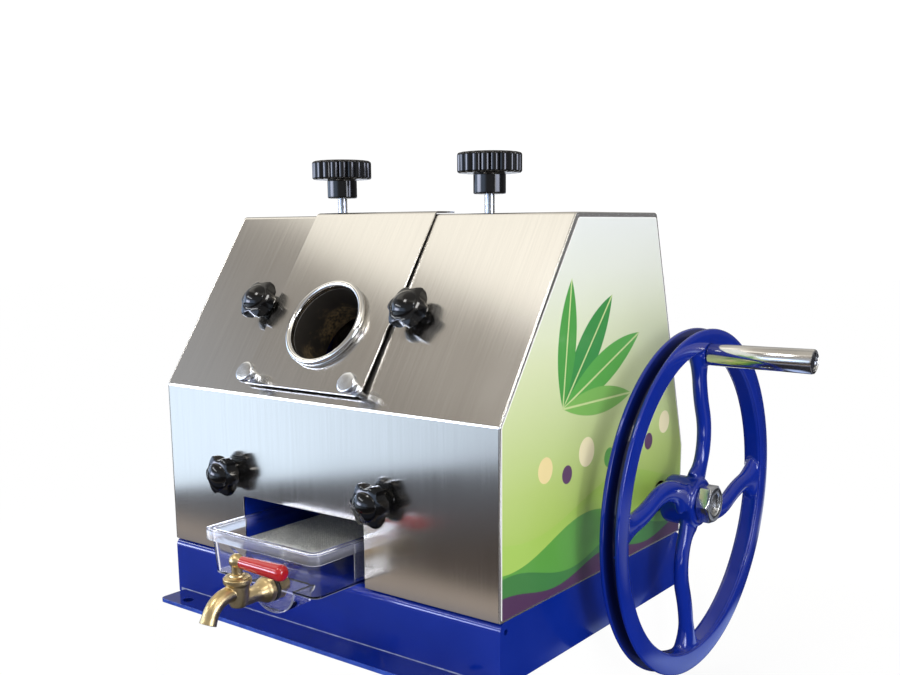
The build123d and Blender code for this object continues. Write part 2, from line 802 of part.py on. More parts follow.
with BuildPart() as drive_shaft_bushes:
    for outer_x, flange_x in (
        (left_outer_x, left_outer_x - shaft_bush_flange),
        (right_inner_x, right_outer_x),
    ):
        with BuildSketch(x_plane(outer_x, shaft_y, shaft_z)):
            Circle(shaft_bush_radius)
        extrude(amount=cheek_thickness)
        with BuildSketch(x_plane(flange_x, shaft_y, shaft_z)):
            Circle(shaft_bush_radius + bush_flange_reach)
        extrude(amount=shaft_bush_flange)
    with BuildSketch(x_plane(left_outer_x - shaft_bush_flange, shaft_y, shaft_z)):
        Circle(shaft_radius + running_clearance)
    extrude(amount=right_outer_x - left_outer_x + 2 * shaft_bush_flange, mode=Mode.SUBTRACT)
drive_shaft_bushes.part.label = "drive_shaft_bushes"
export_step(drive_shaft_bushes.part, "parts/drive_shaft_bushes.step")

# Rollers; a keyway at the top of each gear seat
roller_left_end = roller_gear_x - roller_gear_width - seat_overhang
drive_gear_end = drive_gear_x + drive_gear_width + seat_overhang
key_floor = seat_radius - key_depth

with BuildPart() as front_roller:
    with BuildSketch(x_plane(mill_x - roller_length / 2, -roller_half_spread, lower_roller_z)):
        Circle(roller_radius)
    extrude(amount=roller_length)
    with BuildSketch(x_plane(left_outer_x - gear_side_gap, -roller_half_spread, lower_roller_z)):
        Circle(journal_radius)
    extrude(amount=right_outer_x - left_outer_x + gear_side_gap)
    with BuildSketch(x_plane(roller_left_end, -roller_half_spread, lower_roller_z)):
        Circle(seat_radius)
    extrude(amount=roller_gear_width + seat_overhang)
    with BuildSketch(x_plane(roller_gear_x - roller_gear_width, -roller_half_spread, lower_roller_z)):
        with Locations((0, key_floor)):
            Rectangle(key_width, key_height, align=(Align.CENTER, Align.MIN))
    extrude(amount=roller_gear_width, mode=Mode.SUBTRACT)
front_roller.part.label = "front_roller"
export_step(front_roller.part, "parts/front_roller.step")

with BuildPart() as rear_roller:
    with BuildSketch(x_plane(mill_x - roller_length / 2, roller_half_spread, lower_roller_z)):
        Circle(roller_radius)
    extrude(amount=roller_length)
    with BuildSketch(x_plane(left_outer_x - gear_side_gap, roller_half_spread, lower_roller_z)):
        Circle(journal_radius)
    extrude(amount=right_outer_x - left_outer_x + 2 * gear_side_gap)
    with BuildSketch(x_plane(roller_left_end, roller_half_spread, lower_roller_z)):
        Circle(seat_radius)
    extrude(amount=drive_gear_end - roller_left_end)
    with BuildSketch(x_plane(roller_gear_x - roller_gear_width, roller_half_spread, lower_roller_z)):
        with Locations((0, key_floor)):
            Rectangle(key_width, key_height, align=(Align.CENTER, Align.MIN))
    extrude(amount=roller_gear_width, mode=Mode.SUBTRACT)
    with BuildSketch(x_plane(drive_gear_x, roller_half_spread, lower_roller_z)):
        with Locations((0, key_floor)):
            Rectangle(key_width, key_height, align=(Align.CENTER, Align.MIN))
    extrude(amount=drive_gear_width, mode=Mode.SUBTRACT)
rear_roller.part.label = "rear_roller"
export_step(rear_roller.part, "parts/rear_roller.step")

with BuildPart() as top_roller:
    with BuildSketch(x_plane(mill_x - roller_length / 2, 0, top_roller_z)):
        Circle(roller_radius)
    extrude(amount=roller_length)
    with BuildSketch(x_plane(left_outer_x - gear_side_gap, 0, top_roller_z)):
        Circle(journal_radius)
    extrude(amount=right_outer_x - left_outer_x + gear_side_gap)
    with BuildSketch(x_plane(roller_left_end, 0, top_roller_z)):
        Circle(seat_radius)
    extrude(amount=roller_gear_width + seat_overhang)
    with BuildSketch(x_plane(roller_gear_x - roller_gear_width, 0, top_roller_z)):
        with Locations((0, key_floor)):
            Rectangle(key_width, key_height, align=(Align.CENTER, Align.MIN))
    extrude(amount=roller_gear_width, mode=Mode.SUBTRACT)
top_roller.part.label = "top_roller"
export_step(top_roller.part, "parts/top_roller.step")

# Roller gears; the top gear's first tooth points up, the others are set to mesh with it
top_tooth = 90.0
front_direction = degrees(atan2(lower_roller_z - top_roller_z, -roller_half_spread))
rear_direction = degrees(atan2(lower_roller_z - top_roller_z, roller_half_spread))
front_tooth = mesh_angle(front_direction, top_tooth, roller_gear_teeth, roller_gear_teeth)
rear_tooth = mesh_angle(rear_direction, top_tooth, roller_gear_teeth, roller_gear_teeth)
keyway_top = key_floor + key_height + key_top_gap

with BuildPart() as front_roller_gear:
    with BuildSketch(x_plane(roller_gear_x - roller_gear_width, -roller_half_spread, lower_roller_z)):
        with BuildLine():
            Polyline(
                gear_outline(roller_gear_teeth, roller_gear_module, roller_gear_backlash, front_tooth),
                close=True,
            )
        make_face()
        Circle(seat_radius + fit_gap, mode=Mode.SUBTRACT)
        Rectangle(
            key_width + 2 * fit_gap,
            keyway_top,
            align=(Align.CENTER, Align.MIN),
            mode=Mode.SUBTRACT,
        )
    extrude(amount=roller_gear_width)
front_roller_gear.part.label = "front_roller_gear"
export_step(front_roller_gear.part, "parts/front_roller_gear.step")

with BuildPart() as rear_roller_gear:
    with BuildSketch(x_plane(roller_gear_x - roller_gear_width, roller_half_spread, lower_roller_z)):
        with BuildLine():
            Polyline(
                gear_outline(roller_gear_teeth, roller_gear_module, roller_gear_backlash, rear_tooth),
                close=True,
            )
        make_face()
        Circle(seat_radius + fit_gap, mode=Mode.SUBTRACT)
        Rectangle(
            key_width + 2 * fit_gap,
            keyway_top,
            align=(Align.CENTER, Align.MIN),
            mode=Mode.SUBTRACT,
        )
    extrude(amount=roller_gear_width)
rear_roller_gear.part.label = "rear_roller_gear"
export_step(rear_roller_gear.part, "parts/rear_roller_gear.step")

with BuildPart() as top_roller_gear:
    with BuildSketch(x_plane(roller_gear_x - roller_gear_width, 0, top_roller_z)):
        with BuildLine():
            Polyline(
                gear_outline(roller_gear_teeth, roller_gear_module, roller_gear_backlash, top_tooth),
                close=True,
            )
        make_face()
        Circle(seat_radius + fit_gap, mode=Mode.SUBTRACT)
        Rectangle(
            key_width + 2 * fit_gap,
            keyway_top,
            align=(Align.CENTER, Align.MIN),
            mode=Mode.SUBTRACT,
        )
    extrude(amount=roller_gear_width)
top_roller_gear.part.label = "top_roller_gear"
export_step(top_roller_gear.part, "parts/top_roller_gear.step")

# Drive gear on the rear roller, pinion on the wheel shaft
drive_direction = degrees(atan2(shaft_z - lower_roller_z, shaft_y - roller_half_spread))
drive_tooth = 90.0
pinion_tooth = mesh_angle(drive_direction, drive_tooth, drive_gear_teeth, pinion_teeth)

with BuildPart() as drive_gear:
    with BuildSketch(x_plane(drive_gear_x, roller_half_spread, lower_roller_z)):
        with BuildLine():
            Polyline(
                gear_outline(drive_gear_teeth, drive_module, drive_backlash, drive_tooth),
                close=True,
            )
        make_face()
    extrude(amount=drive_gear_width)
    for face_x, depth in (
        (drive_gear_x, drive_gear_recess),
        (drive_gear_x + drive_gear_width, -drive_gear_recess),
    ):
        with BuildSketch(x_plane(face_x, roller_half_spread, lower_roller_z)):
            Circle(drive_gear_rim_radius)
            Circle(drive_gear_hub_radius, mode=Mode.SUBTRACT)
        extrude(amount=depth, mode=Mode.SUBTRACT)
    with BuildSketch(x_plane(drive_gear_x, roller_half_spread, lower_roller_z)):
        with PolarLocations((drive_gear_hub_radius + drive_gear_rim_radius) / 2, drive_gear_holes):
            Circle(drive_gear_hole_radius)
        Circle(seat_radius + fit_gap)
        Rectangle(key_width + 2 * fit_gap, keyway_top, align=(Align.CENTER, Align.MIN))
    extrude(amount=drive_gear_width, mode=Mode.SUBTRACT)
drive_gear.part.label = "drive_gear"
export_step(drive_gear.part, "parts/drive_gear.step")

with BuildPart() as drive_pinion:
    with BuildSketch(x_plane(drive_gear_x, shaft_y, shaft_z)):
        with BuildLine():
            Polyline(
                gear_outline(pinion_teeth, drive_module, drive_backlash, pinion_tooth),
                close=True,
            )
        make_face()
        Circle(shaft_radius + fit_gap, mode=Mode.SUBTRACT)
        Rectangle(
            wheel_key_width + 2 * fit_gap,
            shaft_radius - wheel_key_depth + wheel_key_height + key_top_gap,
            align=(Align.CENTER, Align.MIN),
            mode=Mode.SUBTRACT,
        )
    extrude(amount=drive_gear_width)
drive_pinion.part.label = "drive_pinion"
export_step(drive_pinion.part, "parts/drive_pinion.step")

# Keys of the roller gears and the drive gear
with BuildPart() as front_gear_key:
    with BuildSketch(x_plane(roller_gear_x - roller_gear_width, -roller_half_spread, lower_roller_z)):
        with Locations((0, key_floor)):
            Rectangle(key_width, key_height, align=(Align.CENTER, Align.MIN))
    extrude(amount=roller_gear_width)
front_gear_key.part.label = "front_gear_key"
export_step(front_gear_key.part, "parts/front_gear_key.step")

with BuildPart() as rear_gear_keys:
    with BuildSketch(x_plane(roller_gear_x - roller_gear_width, roller_half_spread, lower_roller_z)):
        with Locations((0, key_floor)):
            Rectangle(key_width, key_height, align=(Align.CENTER, Align.MIN))
    extrude(amount=roller_gear_width)
    with BuildSketch(x_plane(drive_gear_x, roller_half_spread, lower_roller_z)):
        with Locations((0, key_floor)):
            Rectangle(key_width, key_height, align=(Align.CENTER, Align.MIN))
    extrude(amount=drive_gear_width)
rear_gear_keys.part.label = "rear_gear_keys"
export_step(rear_gear_keys.part, "parts/rear_gear_keys.step")

with BuildPart() as top_gear_key:
    with BuildSketch(x_plane(roller_gear_x - roller_gear_width, 0, top_roller_z)):
        with Locations((0, key_floor)):
            Rectangle(key_width, key_height, align=(Align.CENTER, Align.MIN))
    extrude(amount=roller_gear_width)
top_gear_key.part.label = "top_gear_key"
export_step(top_gear_key.part, "parts/top_gear_key.step")

# Sliding blocks of the top roller, pads on them and bridges over their slots
with BuildPart() as left_top_block:
    with BuildSketch(x_plane(left_outer_x, 0, top_roller_z)):
        Rectangle(block_width, block_height)
        Circle(journal_radius + running_clearance, mode=Mode.SUBTRACT)
    extrude(amount=cheek_thickness)
left_top_block.part.label = "left_top_block"
export_step(left_top_block.part, "parts/left_top_block.step")

with BuildPart() as right_top_block:
    with BuildSketch(x_plane(right_inner_x, 0, top_roller_z)):
        Rectangle(block_width, block_height)
        Circle(journal_radius + running_clearance, mode=Mode.SUBTRACT)
    extrude(amount=cheek_thickness)
right_top_block.part.label = "right_top_block"
export_step(right_top_block.part, "parts/right_top_block.step")

with BuildPart() as pressure_pads:
    for cheek_x in (left_cheek_x, right_cheek_x):
        with BuildSketch(Plane.XY.offset(block_top)):
            with Locations((cheek_x, 0)):
                Circle(pad_radius)
        extrude(amount=pad_height)
pressure_pads.part.label = "pressure_pads"
export_step(pressure_pads.part, "parts/pressure_pads.step")

with BuildPart() as left_bridge:
    with BuildSketch(Plane.XY.offset(cheek_top)):
        with Locations((left_cheek_x, 0)):
            Rectangle(cheek_thickness, bridge_length)
            Circle(screw_radius + thread_clearance, mode=Mode.SUBTRACT)
        with Locations((left_cheek_x, -bridge_bolt_spacing / 2), (left_cheek_x, bridge_bolt_spacing / 2)):
            Circle(bridge_bolt_radius + bolt_clearance, mode=Mode.SUBTRACT)
    extrude(amount=bridge_height)
    with BuildSketch(Plane.XY.offset(cheek_top + bridge_height)):
        with Locations((left_cheek_x, -bridge_bolt_spacing / 2), (left_cheek_x, bridge_bolt_spacing / 2)):
            Circle(bridge_head_radius + bolt_clearance)
    extrude(amount=-bridge_head_height, mode=Mode.SUBTRACT)
left_bridge.part.label = "left_bridge"
export_step(left_bridge.part, "parts/left_bridge.step")

with BuildPart() as right_bridge:
    with BuildSketch(Plane.XY.offset(cheek_top)):
        with Locations((right_cheek_x, 0)):
            Rectangle(cheek_thickness, bridge_length)
            Circle(screw_radius + thread_clearance, mode=Mode.SUBTRACT)
        with Locations((right_cheek_x, -bridge_bolt_spacing / 2), (right_cheek_x, bridge_bolt_spacing / 2)):
            Circle(bridge_bolt_radius + bolt_clearance, mode=Mode.SUBTRACT)
    extrude(amount=bridge_height)
    with BuildSketch(Plane.XY.offset(cheek_top + bridge_height)):
        with Locations((right_cheek_x, -bridge_bolt_spacing / 2), (right_cheek_x, bridge_bolt_spacing / 2)):
            Circle(bridge_head_radius + bolt_clearance)
    extrude(amount=-bridge_head_height, mode=Mode.SUBTRACT)
right_bridge.part.label = "right_bridge"
export_step(right_bridge.part, "parts/right_bridge.step")

bridge_head_seat = cheek_top + bridge_height - bridge_head_height
with BuildPart() as bridge_bolts:
    for cheek_x in (left_cheek_x, right_cheek_x):
        for side in (-1, 1):
            with BuildSketch(Plane.XY.offset(bridge_head_seat)):
                with Locations((cheek_x, side * bridge_bolt_spacing / 2)):
                    Circle(bridge_head_radius)
            extrude(amount=bridge_head_height)
            with BuildSketch(Plane.XY.offset(cheek_top - bridge_bolt_depth)):
                with Locations((cheek_x, side * bridge_bolt_spacing / 2)):
                    Circle(bridge_bolt_radius)
            extrude(amount=bridge_head_seat - cheek_top + bridge_bolt_depth)
bridge_bolts.part.label = "bridge_bolts"
export_step(bridge_bolts.part, "parts/bridge_bolts.step")

# Pressure screws and their fluted knobs
knob_socket = knob_hub_height - knob_socket_floor
with BuildPart() as left_pressure_screw:
    with BuildSketch(Plane.XY.offset(screw_bottom)):
        with Locations((left_cheek_x, 0)):
            Circle(screw_radius)
    extrude(amount=knob_bottom + knob_socket - screw_bottom)
left_pressure_screw.part.label = "left_pressure_screw"
export_step(left_pressure_screw.part, "parts/left_pressure_screw.step")

with BuildPart() as right_pressure_screw:
    with BuildSketch(Plane.XY.offset(screw_bottom)):
        with Locations((right_cheek_x, 0)):
            Circle(screw_radius)
    extrude(amount=knob_bottom + knob_socket - screw_bottom)
right_pressure_screw.part.label = "right_pressure_screw"
export_step(right_pressure_screw.part, "parts/right_pressure_screw.step")

flute_circle = knob_cap_radius - knob_flute_depth + knob_flute_radius
with BuildPart() as left_pressure_knob:
    with BuildSketch(Plane.XY.offset(knob_bottom + knob_hub_height)):
        with Locations((left_cheek_x, 0)):
            Circle(knob_cap_radius)
            with PolarLocations(flute_circle, knob_flutes):
                Circle(knob_flute_radius, mode=Mode.SUBTRACT)
    extrude(amount=knob_cap_height)
    chamfer(faces().sort_by(Axis.Z)[-1].edges(), knob_edge / 2)
    with BuildSketch(Plane.XY.offset(knob_bottom)):
        with Locations((left_cheek_x, 0)):
            Circle(knob_hub_radius)
    extrude(amount=knob_hub_height)
    with BuildSketch(Plane.XY.offset(knob_bottom)):
        with Locations((left_cheek_x, 0)):
            Circle(screw_radius + fit_gap)
    extrude(amount=knob_socket, mode=Mode.SUBTRACT)
left_pressure_knob.part.label = "left_pressure_knob"
export_step(left_pressure_knob.part, "parts/left_pressure_knob.step")

with BuildPart() as right_pressure_knob:
    with BuildSketch(Plane.XY.offset(knob_bottom + knob_hub_height)):
        with Locations((right_cheek_x, 0)):
            Circle(knob_cap_radius)
            with PolarLocations(flute_circle, knob_flutes):
                Circle(knob_flute_radius, mode=Mode.SUBTRACT)
    extrude(amount=knob_cap_height)
    chamfer(faces().sort_by(Axis.Z)[-1].edges(), knob_edge / 2)
    with BuildSketch(Plane.XY.offset(knob_bottom)):
        with Locations((right_cheek_x, 0)):
            Circle(knob_hub_radius)
    extrude(amount=knob_hub_height)
    with BuildSketch(Plane.XY.offset(knob_bottom)):
        with Locations((right_cheek_x, 0)):
            Circle(screw_radius + fit_gap)
    extrude(amount=knob_socket, mode=Mode.SUBTRACT)
right_pressure_knob.part.label = "right_pressure_knob"
export_step(right_pressure_knob.part, "parts/right_pressure_knob.step")


# Star knobs: moulded head, hub and stud in one piece
def front_plane(x, z, out):
    # a plane on the cover's front wall, normal outward
    return Plane(origin=(x, front_y - out, z), x_dir=(1, 0, 0), z_dir=(0, -1, 0))


star_seats = {
    "front_left_star_knob": lambda out: front_plane(left_cheek_x, star_front_z, out),
    "front_right_star_knob": lambda out: front_plane(right_cheek_x, star_front_z, out),
    "slope_left_star_knob": lambda out: slope_plane(left_cheek_x, star_slope_up, out),
    "slope_right_star_knob": lambda out: slope_plane(right_cheek_x, star_slope_up, out),
}
for star_name, star_plane in star_seats.items():
    with BuildPart() as star_knob:
        with BuildSketch(star_plane(-star_stud_length)):
            Circle(star_stud_radius)
        extrude(amount=star_stud_length + star_gap)
        with BuildSketch(star_plane(star_gap)):
            Circle(star_hub_radius)
        extrude(amount=star_hub_height)
        with BuildSketch(star_plane(star_gap + star_hub_height)):
            Circle(star_core_radius)
            with PolarLocations(star_lobe_reach, star_lobes):
                Circle(star_lobe_radius)
            fillet(vertices(), star_valley)
        extrude(amount=star_height)
        head_top = star_gap + star_hub_height + star_height
        with BuildSketch(star_plane(head_top)):
            Circle(star_dome_radius)
        extrude(amount=star_dome_height, taper=45)
    star_knob.part.label = star_name
    export_step(star_knob.part, "parts/" + star_name + ".step")

# Trash plate between the lower rollers, below the top one
trash_radius = roller_radius + trash_gap
trash_edge_z = top_roller_z - sqrt(trash_radius**2 - trash_half_width**2)
trash_low_z = trash_edge_z - trash_wing
trash_neck_z = lower_roller_z + trash_half_width
with BuildPart() as trash_plate:
    with BuildSketch(Plane.YZ.offset(left_inner_x)):
        with BuildLine():
            ThreePointArc(
                (-trash_half_width, trash_edge_z),
                (0, top_roller_z - trash_radius),
                (trash_half_width, trash_edge_z),
            )
            Polyline(
                (trash_half_width, trash_edge_z),
                (trash_half_width, trash_low_z),
                (trash_stem / 2, trash_neck_z),
                (trash_stem / 2, trash_foot_z),
                (-trash_stem / 2, trash_foot_z),
                (-trash_stem / 2, trash_neck_z),
                (-trash_half_width, trash_low_z),
                (-trash_half_width, trash_edge_z),
            )
        make_face()
    extrude(amount=cheek_spacing)
trash_plate.part.label = "trash_plate"
export_step(trash_plate.part, "parts/trash_plate.step")

# Chute from the rear roller to the outlet in the back slope
chute_start_y = roller_half_spread + chute_start_gap + sqrt(
    roller_radius**2 - (chute_start_z - lower_roller_z) ** 2
)
chute_end_y = rear_y + chute_reach
chute_end_z = rear_knee_z + 2 * cover_bend - chute_fall * chute_reach / (rear_y - chute_start_y)
with BuildPart() as bagasse_chute:
    with BuildSketch(Plane.YZ.offset(left_inner_x)):
        with BuildLine():
            Polyline(
                (chute_start_y, chute_start_z),
                (chute_end_y, chute_end_z),
                (chute_end_y, chute_end_z + chute_sheet),
                (chute_start_y, chute_start_z + chute_sheet),
                close=True,
            )
        make_face()
    extrude(amount=cheek_spacing)
bagasse_chute.part.label = "bagasse_chute"
export_step(bagasse_chute.part, "parts/bagasse_chute.step")

# Wheel shaft with its collar
shaft_left_x = left_outer_x - shaft_bush_flange - shaft_collar_gap - shaft_collar_width
shaft_tip_x = wheel_front_x + wheel_nut_height - wheel_nut_recess
shaft_key_floor = shaft_radius - wheel_key_depth
wheel_key_floor = wheel_seat_radius - wheel_key_depth
with BuildPart() as drive_shaft:
    with BuildSketch(x_plane(shaft_left_x, shaft_y, shaft_z)):
        Circle(shaft_radius)
    extrude(amount=wheel_hub_x - shaft_left_x)
    with BuildSketch(x_plane(wheel_hub_x, shaft_y, shaft_z)):
        Circle(wheel_seat_radius)
    extrude(amount=wheel_hub_length)
    with BuildSketch(x_plane(wheel_front_x, shaft_y, shaft_z)):
        Circle(wheel_thread_radius)
    extrude(amount=shaft_tip_x - wheel_front_x)
    with BuildSketch(x_plane(drive_gear_x, shaft_y, shaft_z)):
        with Locations((0, shaft_key_floor)):
            Rectangle(wheel_key_width, wheel_key_height, align=(Align.CENTER, Align.MIN))
    extrude(amount=drive_gear_width, mode=Mode.SUBTRACT)
    with BuildSketch(x_plane(wheel_hub_x, shaft_y, shaft_z)):
        with Locations((0, wheel_key_floor)):
            Rectangle(wheel_key_width, wheel_key_height, align=(Align.CENTER, Align.MIN))
    extrude(amount=wheel_hub_length, mode=Mode.SUBTRACT)
drive_shaft.part.label = "drive_shaft"
export_step(drive_shaft.part, "parts/drive_shaft.step")

with BuildPart() as shaft_collar:
    with BuildSketch(x_plane(shaft_left_x, shaft_y, shaft_z)):
        Circle(shaft_collar_radius)
        Circle(shaft_radius + fit_gap, mode=Mode.SUBTRACT)
    extrude(amount=shaft_collar_width)
shaft_collar.part.label = "shaft_collar"
export_step(shaft_collar.part, "parts/shaft_collar.step")

with BuildPart() as pinion_key:
    with BuildSketch(x_plane(drive_gear_x, shaft_y, shaft_z)):
        with Locations((0, shaft_key_floor)):
            Rectangle(wheel_key_width, wheel_key_height, align=(Align.CENTER, Align.MIN))
    extrude(amount=drive_gear_width)
pinion_key.part.label = "pinion_key"
export_step(pinion_key.part, "parts/pinion_key.step")

with BuildPart() as wheel_key:
    with BuildSketch(x_plane(wheel_hub_x, shaft_y, shaft_z)):
        with Locations((0, wheel_key_floor)):
            Rectangle(wheel_key_width, wheel_key_height, align=(Align.CENTER, Align.MIN))
    extrude(amount=wheel_hub_length)
wheel_key.part.label = "wheel_key"
export_step(wheel_key.part, "parts/wheel_key.step")

# Hand wheel: grooved rim, four S-shaped spokes, long hub and a boss for the handle
wheel_axis = Axis((0, shaft_y, shaft_z), (1, 0, 0))
rim_plane = Plane(origin=(0, shaft_y, shaft_z), x_dir=(1, 0, 0), z_dir=(0, -1, 0))
rim_rear_x = wheel_front_x - wheel_rim_width
groove_floor = wheel_radius - wheel_groove_depth
handle_y = shaft_y + handle_offset * sin(radians(wheel_turn))
handle_z = shaft_z + handle_offset * cos(radians(wheel_turn))
with BuildPart() as hand_wheel:
    with BuildSketch(rim_plane):
        with BuildLine():
            Polyline(
                (rim_rear_x, wheel_inner_radius),
                (wheel_front_x, wheel_inner_radius),
                (wheel_front_x, wheel_radius),
                (wheel_mid_x + wheel_groove_top / 2, wheel_radius),
                (wheel_mid_x + wheel_groove_bottom / 2, groove_floor),
                (wheel_mid_x - wheel_groove_bottom / 2, groove_floor),
                (wheel_mid_x - wheel_groove_top / 2, wheel_radius),
                (rim_rear_x, wheel_radius),
                close=True,
            )
        make_face()
        fillet(vertices(), wheel_edge)
    revolve(axis=wheel_axis)
    with BuildSketch(x_plane(wheel_hub_x, shaft_y, shaft_z)):
        Circle(wheel_hub_radius)
    extrude(amount=wheel_hub_length)
    for spoke in range(wheel_spokes):
        turn = radians(360 * spoke / wheel_spokes - wheel_turn)
        spoke_plane = Plane(
            origin=(wheel_mid_x, shaft_y, shaft_z),
            x_dir=(0, cos(turn), sin(turn)),
            z_dir=(1, 0, 0),
        )
        with BuildLine(spoke_plane) as spoke_path:
            lower_arc = ThreePointArc(spoke_start, spoke_bulge, spoke_bend)
            TangentArc(spoke_bend, spoke_end, tangent=lower_arc % 1)
        spoke_section = Plane(
            origin=spoke_path.line @ 0, x_dir=(1, 0, 0), z_dir=spoke_path.line % 0
        )
        with BuildSketch(spoke_section):
            Ellipse(spoke_depth / 2, spoke_width / 2)
        sweep(path=spoke_path.line)
    with BuildSketch(x_plane(rim_rear_x, handle_y, handle_z)):
        Circle(handle_boss_radius)
    extrude(amount=wheel_rim_width)
    with BuildSketch(x_plane(wheel_hub_x, shaft_y, shaft_z)):
        Circle(wheel_seat_radius + fit_gap)
        Rectangle(
            wheel_key_width + 2 * fit_gap,
            wheel_key_floor + wheel_key_height + key_top_gap,
            align=(Align.CENTER, Align.MIN),
        )
    extrude(amount=wheel_hub_length, mode=Mode.SUBTRACT)
    with BuildSketch(x_plane(rim_rear_x, handle_y, handle_z)):
        Circle(spindle_radius + fit_gap)
    extrude(amount=wheel_rim_width, mode=Mode.SUBTRACT)
hand_wheel.part.label = "hand_wheel"
export_step(hand_wheel.part, "parts/hand_wheel.step")

with BuildPart() as wheel_nut:
    with BuildSketch(x_plane(wheel_front_x, shaft_y, shaft_z)):
        RegularPolygon(wheel_nut_flats / 2, 6, major_radius=False)
        Circle(wheel_thread_radius + thread_clearance, mode=Mode.SUBTRACT)
    extrude(amount=wheel_nut_height)
wheel_nut.part.label = "wheel_nut"
export_step(wheel_nut.part, "parts/wheel_nut.step")

# Handle: a grip that spins on a spindle screwed into the wheel
handle_start_x = wheel_front_x + handle_gap
handle_end_x = handle_start_x + handle_length
spindle_head_x = handle_end_x - spindle_head_recess - spindle_head_height
with BuildPart() as handle_spindle:
    with BuildSketch(x_plane(rim_rear_x, handle_y, handle_z)):
        Circle(spindle_radius)
    extrude(amount=spindle_head_x - rim_rear_x)
    with BuildSketch(x_plane(spindle_head_x, handle_y, handle_z)):
        Circle(spindle_head_radius)
    extrude(amount=spindle_head_height)
handle_spindle.part.label = "handle_spindle"
export_step(handle_spindle.part, "parts/handle_spindle.step")

grip_plane = Plane(origin=(0, handle_y, handle_z), x_dir=(1, 0, 0), z_dir=(0, -1, 0))
with BuildPart() as handle_grip:
    with BuildSketch(grip_plane):
        with BuildLine():
            Polyline(
                (handle_start_x, spindle_radius + running_clearance),
                (handle_start_x, handle_root_radius - handle_edge),
                (handle_start_x + handle_edge, handle_root_radius),
                (handle_end_x - handle_edge, handle_end_radius),
                (handle_end_x, handle_end_radius - handle_edge),
                (handle_end_x, spindle_head_radius + spindle_head_gap),
                (spindle_head_x - spindle_head_gap, spindle_head_radius + spindle_head_gap),
                (spindle_head_x - spindle_head_gap, spindle_radius + running_clearance),
                close=True,
            )
        make_face()
    revolve(axis=Axis((0, handle_y, handle_z), (1, 0, 0)))
handle_grip.part.label = "handle_grip"
export_step(handle_grip.part, "parts/handle_grip.step")

# Juice tray with a half-round sump behind its front wall
tray_bottom = base_height + tray_floor_gap
tray_length = tray_back - tray_front
tray_mid_y = (tray_front + tray_back) / 2
tray_wall_height = tray_top - tray_bottom
tray_taper = degrees(atan2(tray_draft, tray_wall_height))
tray_low_width = tray_width - 2 * tray_rim_reach - 2 * tray_draft
tray_low_length = tray_length - 2 * tray_rim_reach - 2 * tray_draft
tray_low_front = tray_mid_y - tray_low_length / 2
floor_corner = tray_corner - tray_rim_reach - tray_draft
with BuildPart() as juice_tray:
    with BuildSketch(Plane.XY.offset(tray_bottom)):
        with Locations((tray_x, tray_mid_y)):
            RectangleRounded(tray_low_width, tray_low_length, floor_corner)
    extrude(amount=tray_wall_height, taper=-tray_taper)
    with BuildSketch(Plane.XY.offset(tray_top - tray_rim_height)):
        with Locations((tray_x, tray_mid_y)):
            RectangleRounded(tray_width, tray_length, tray_corner)
            RectangleRounded(
                tray_width - 2 * tray_rim_wall,
                tray_length - 2 * tray_rim_wall,
                tray_corner - tray_rim_wall,
                mode=Mode.SUBTRACT,
            )
    extrude(amount=tray_rim_height)
    with BuildSketch(Plane.XY.offset(tray_top - tray_wall)):
        with Locations((tray_x, tray_mid_y)):
            RectangleRounded(tray_width, tray_length, tray_corner)
    extrude(amount=tray_wall)
    with BuildSketch(Plane.XZ.offset(-tray_low_front)):
        with Locations((sump_x, sump_z)):
            Circle(sump_radius)
        with Locations((sump_x, tray_bottom + tray_wall)):
            Rectangle(
                2 * sump_radius,
                2 * sump_radius,
                align=(Align.CENTER, Align.MIN),
                mode=Mode.SUBTRACT,
            )
    extrude(amount=-sump_length)
    with BuildSketch(Plane.XY.offset(tray_bottom + tray_wall)):
        with Locations((tray_x, tray_mid_y)):
            RectangleRounded(
                tray_low_width - 2 * tray_wall,
                tray_low_length - 2 * tray_wall,
                floor_corner - tray_wall,
            )
    extrude(amount=tray_wall_height, taper=-tray_taper, mode=Mode.SUBTRACT)
    with BuildSketch(Plane.XZ.offset(-tray_low_front - tray_wall)):
        with Locations((sump_x, sump_z)):
            Circle(sump_radius - tray_wall)
        with Locations((sump_x, tray_bottom + tray_wall)):
            Rectangle(
                2 * sump_radius,
                2 * sump_radius,
                align=(Align.CENTER, Align.MIN),
                mode=Mode.SUBTRACT,
            )
    extrude(amount=-sump_length + 2 * tray_wall, mode=Mode.SUBTRACT)
    with BuildSketch(Plane.XZ.offset(-tray_front)):
        with Locations((tap_x, tap_z)):
            Circle(tap_thread_radius + tap_hole_gap)
    extrude(amount=tray_front - tray_low_front - 2 * tray_wall, mode=Mode.SUBTRACT)
juice_tray.part.label = "juice_tray"
export_step(juice_tray.part, "parts/juice_tray.step")

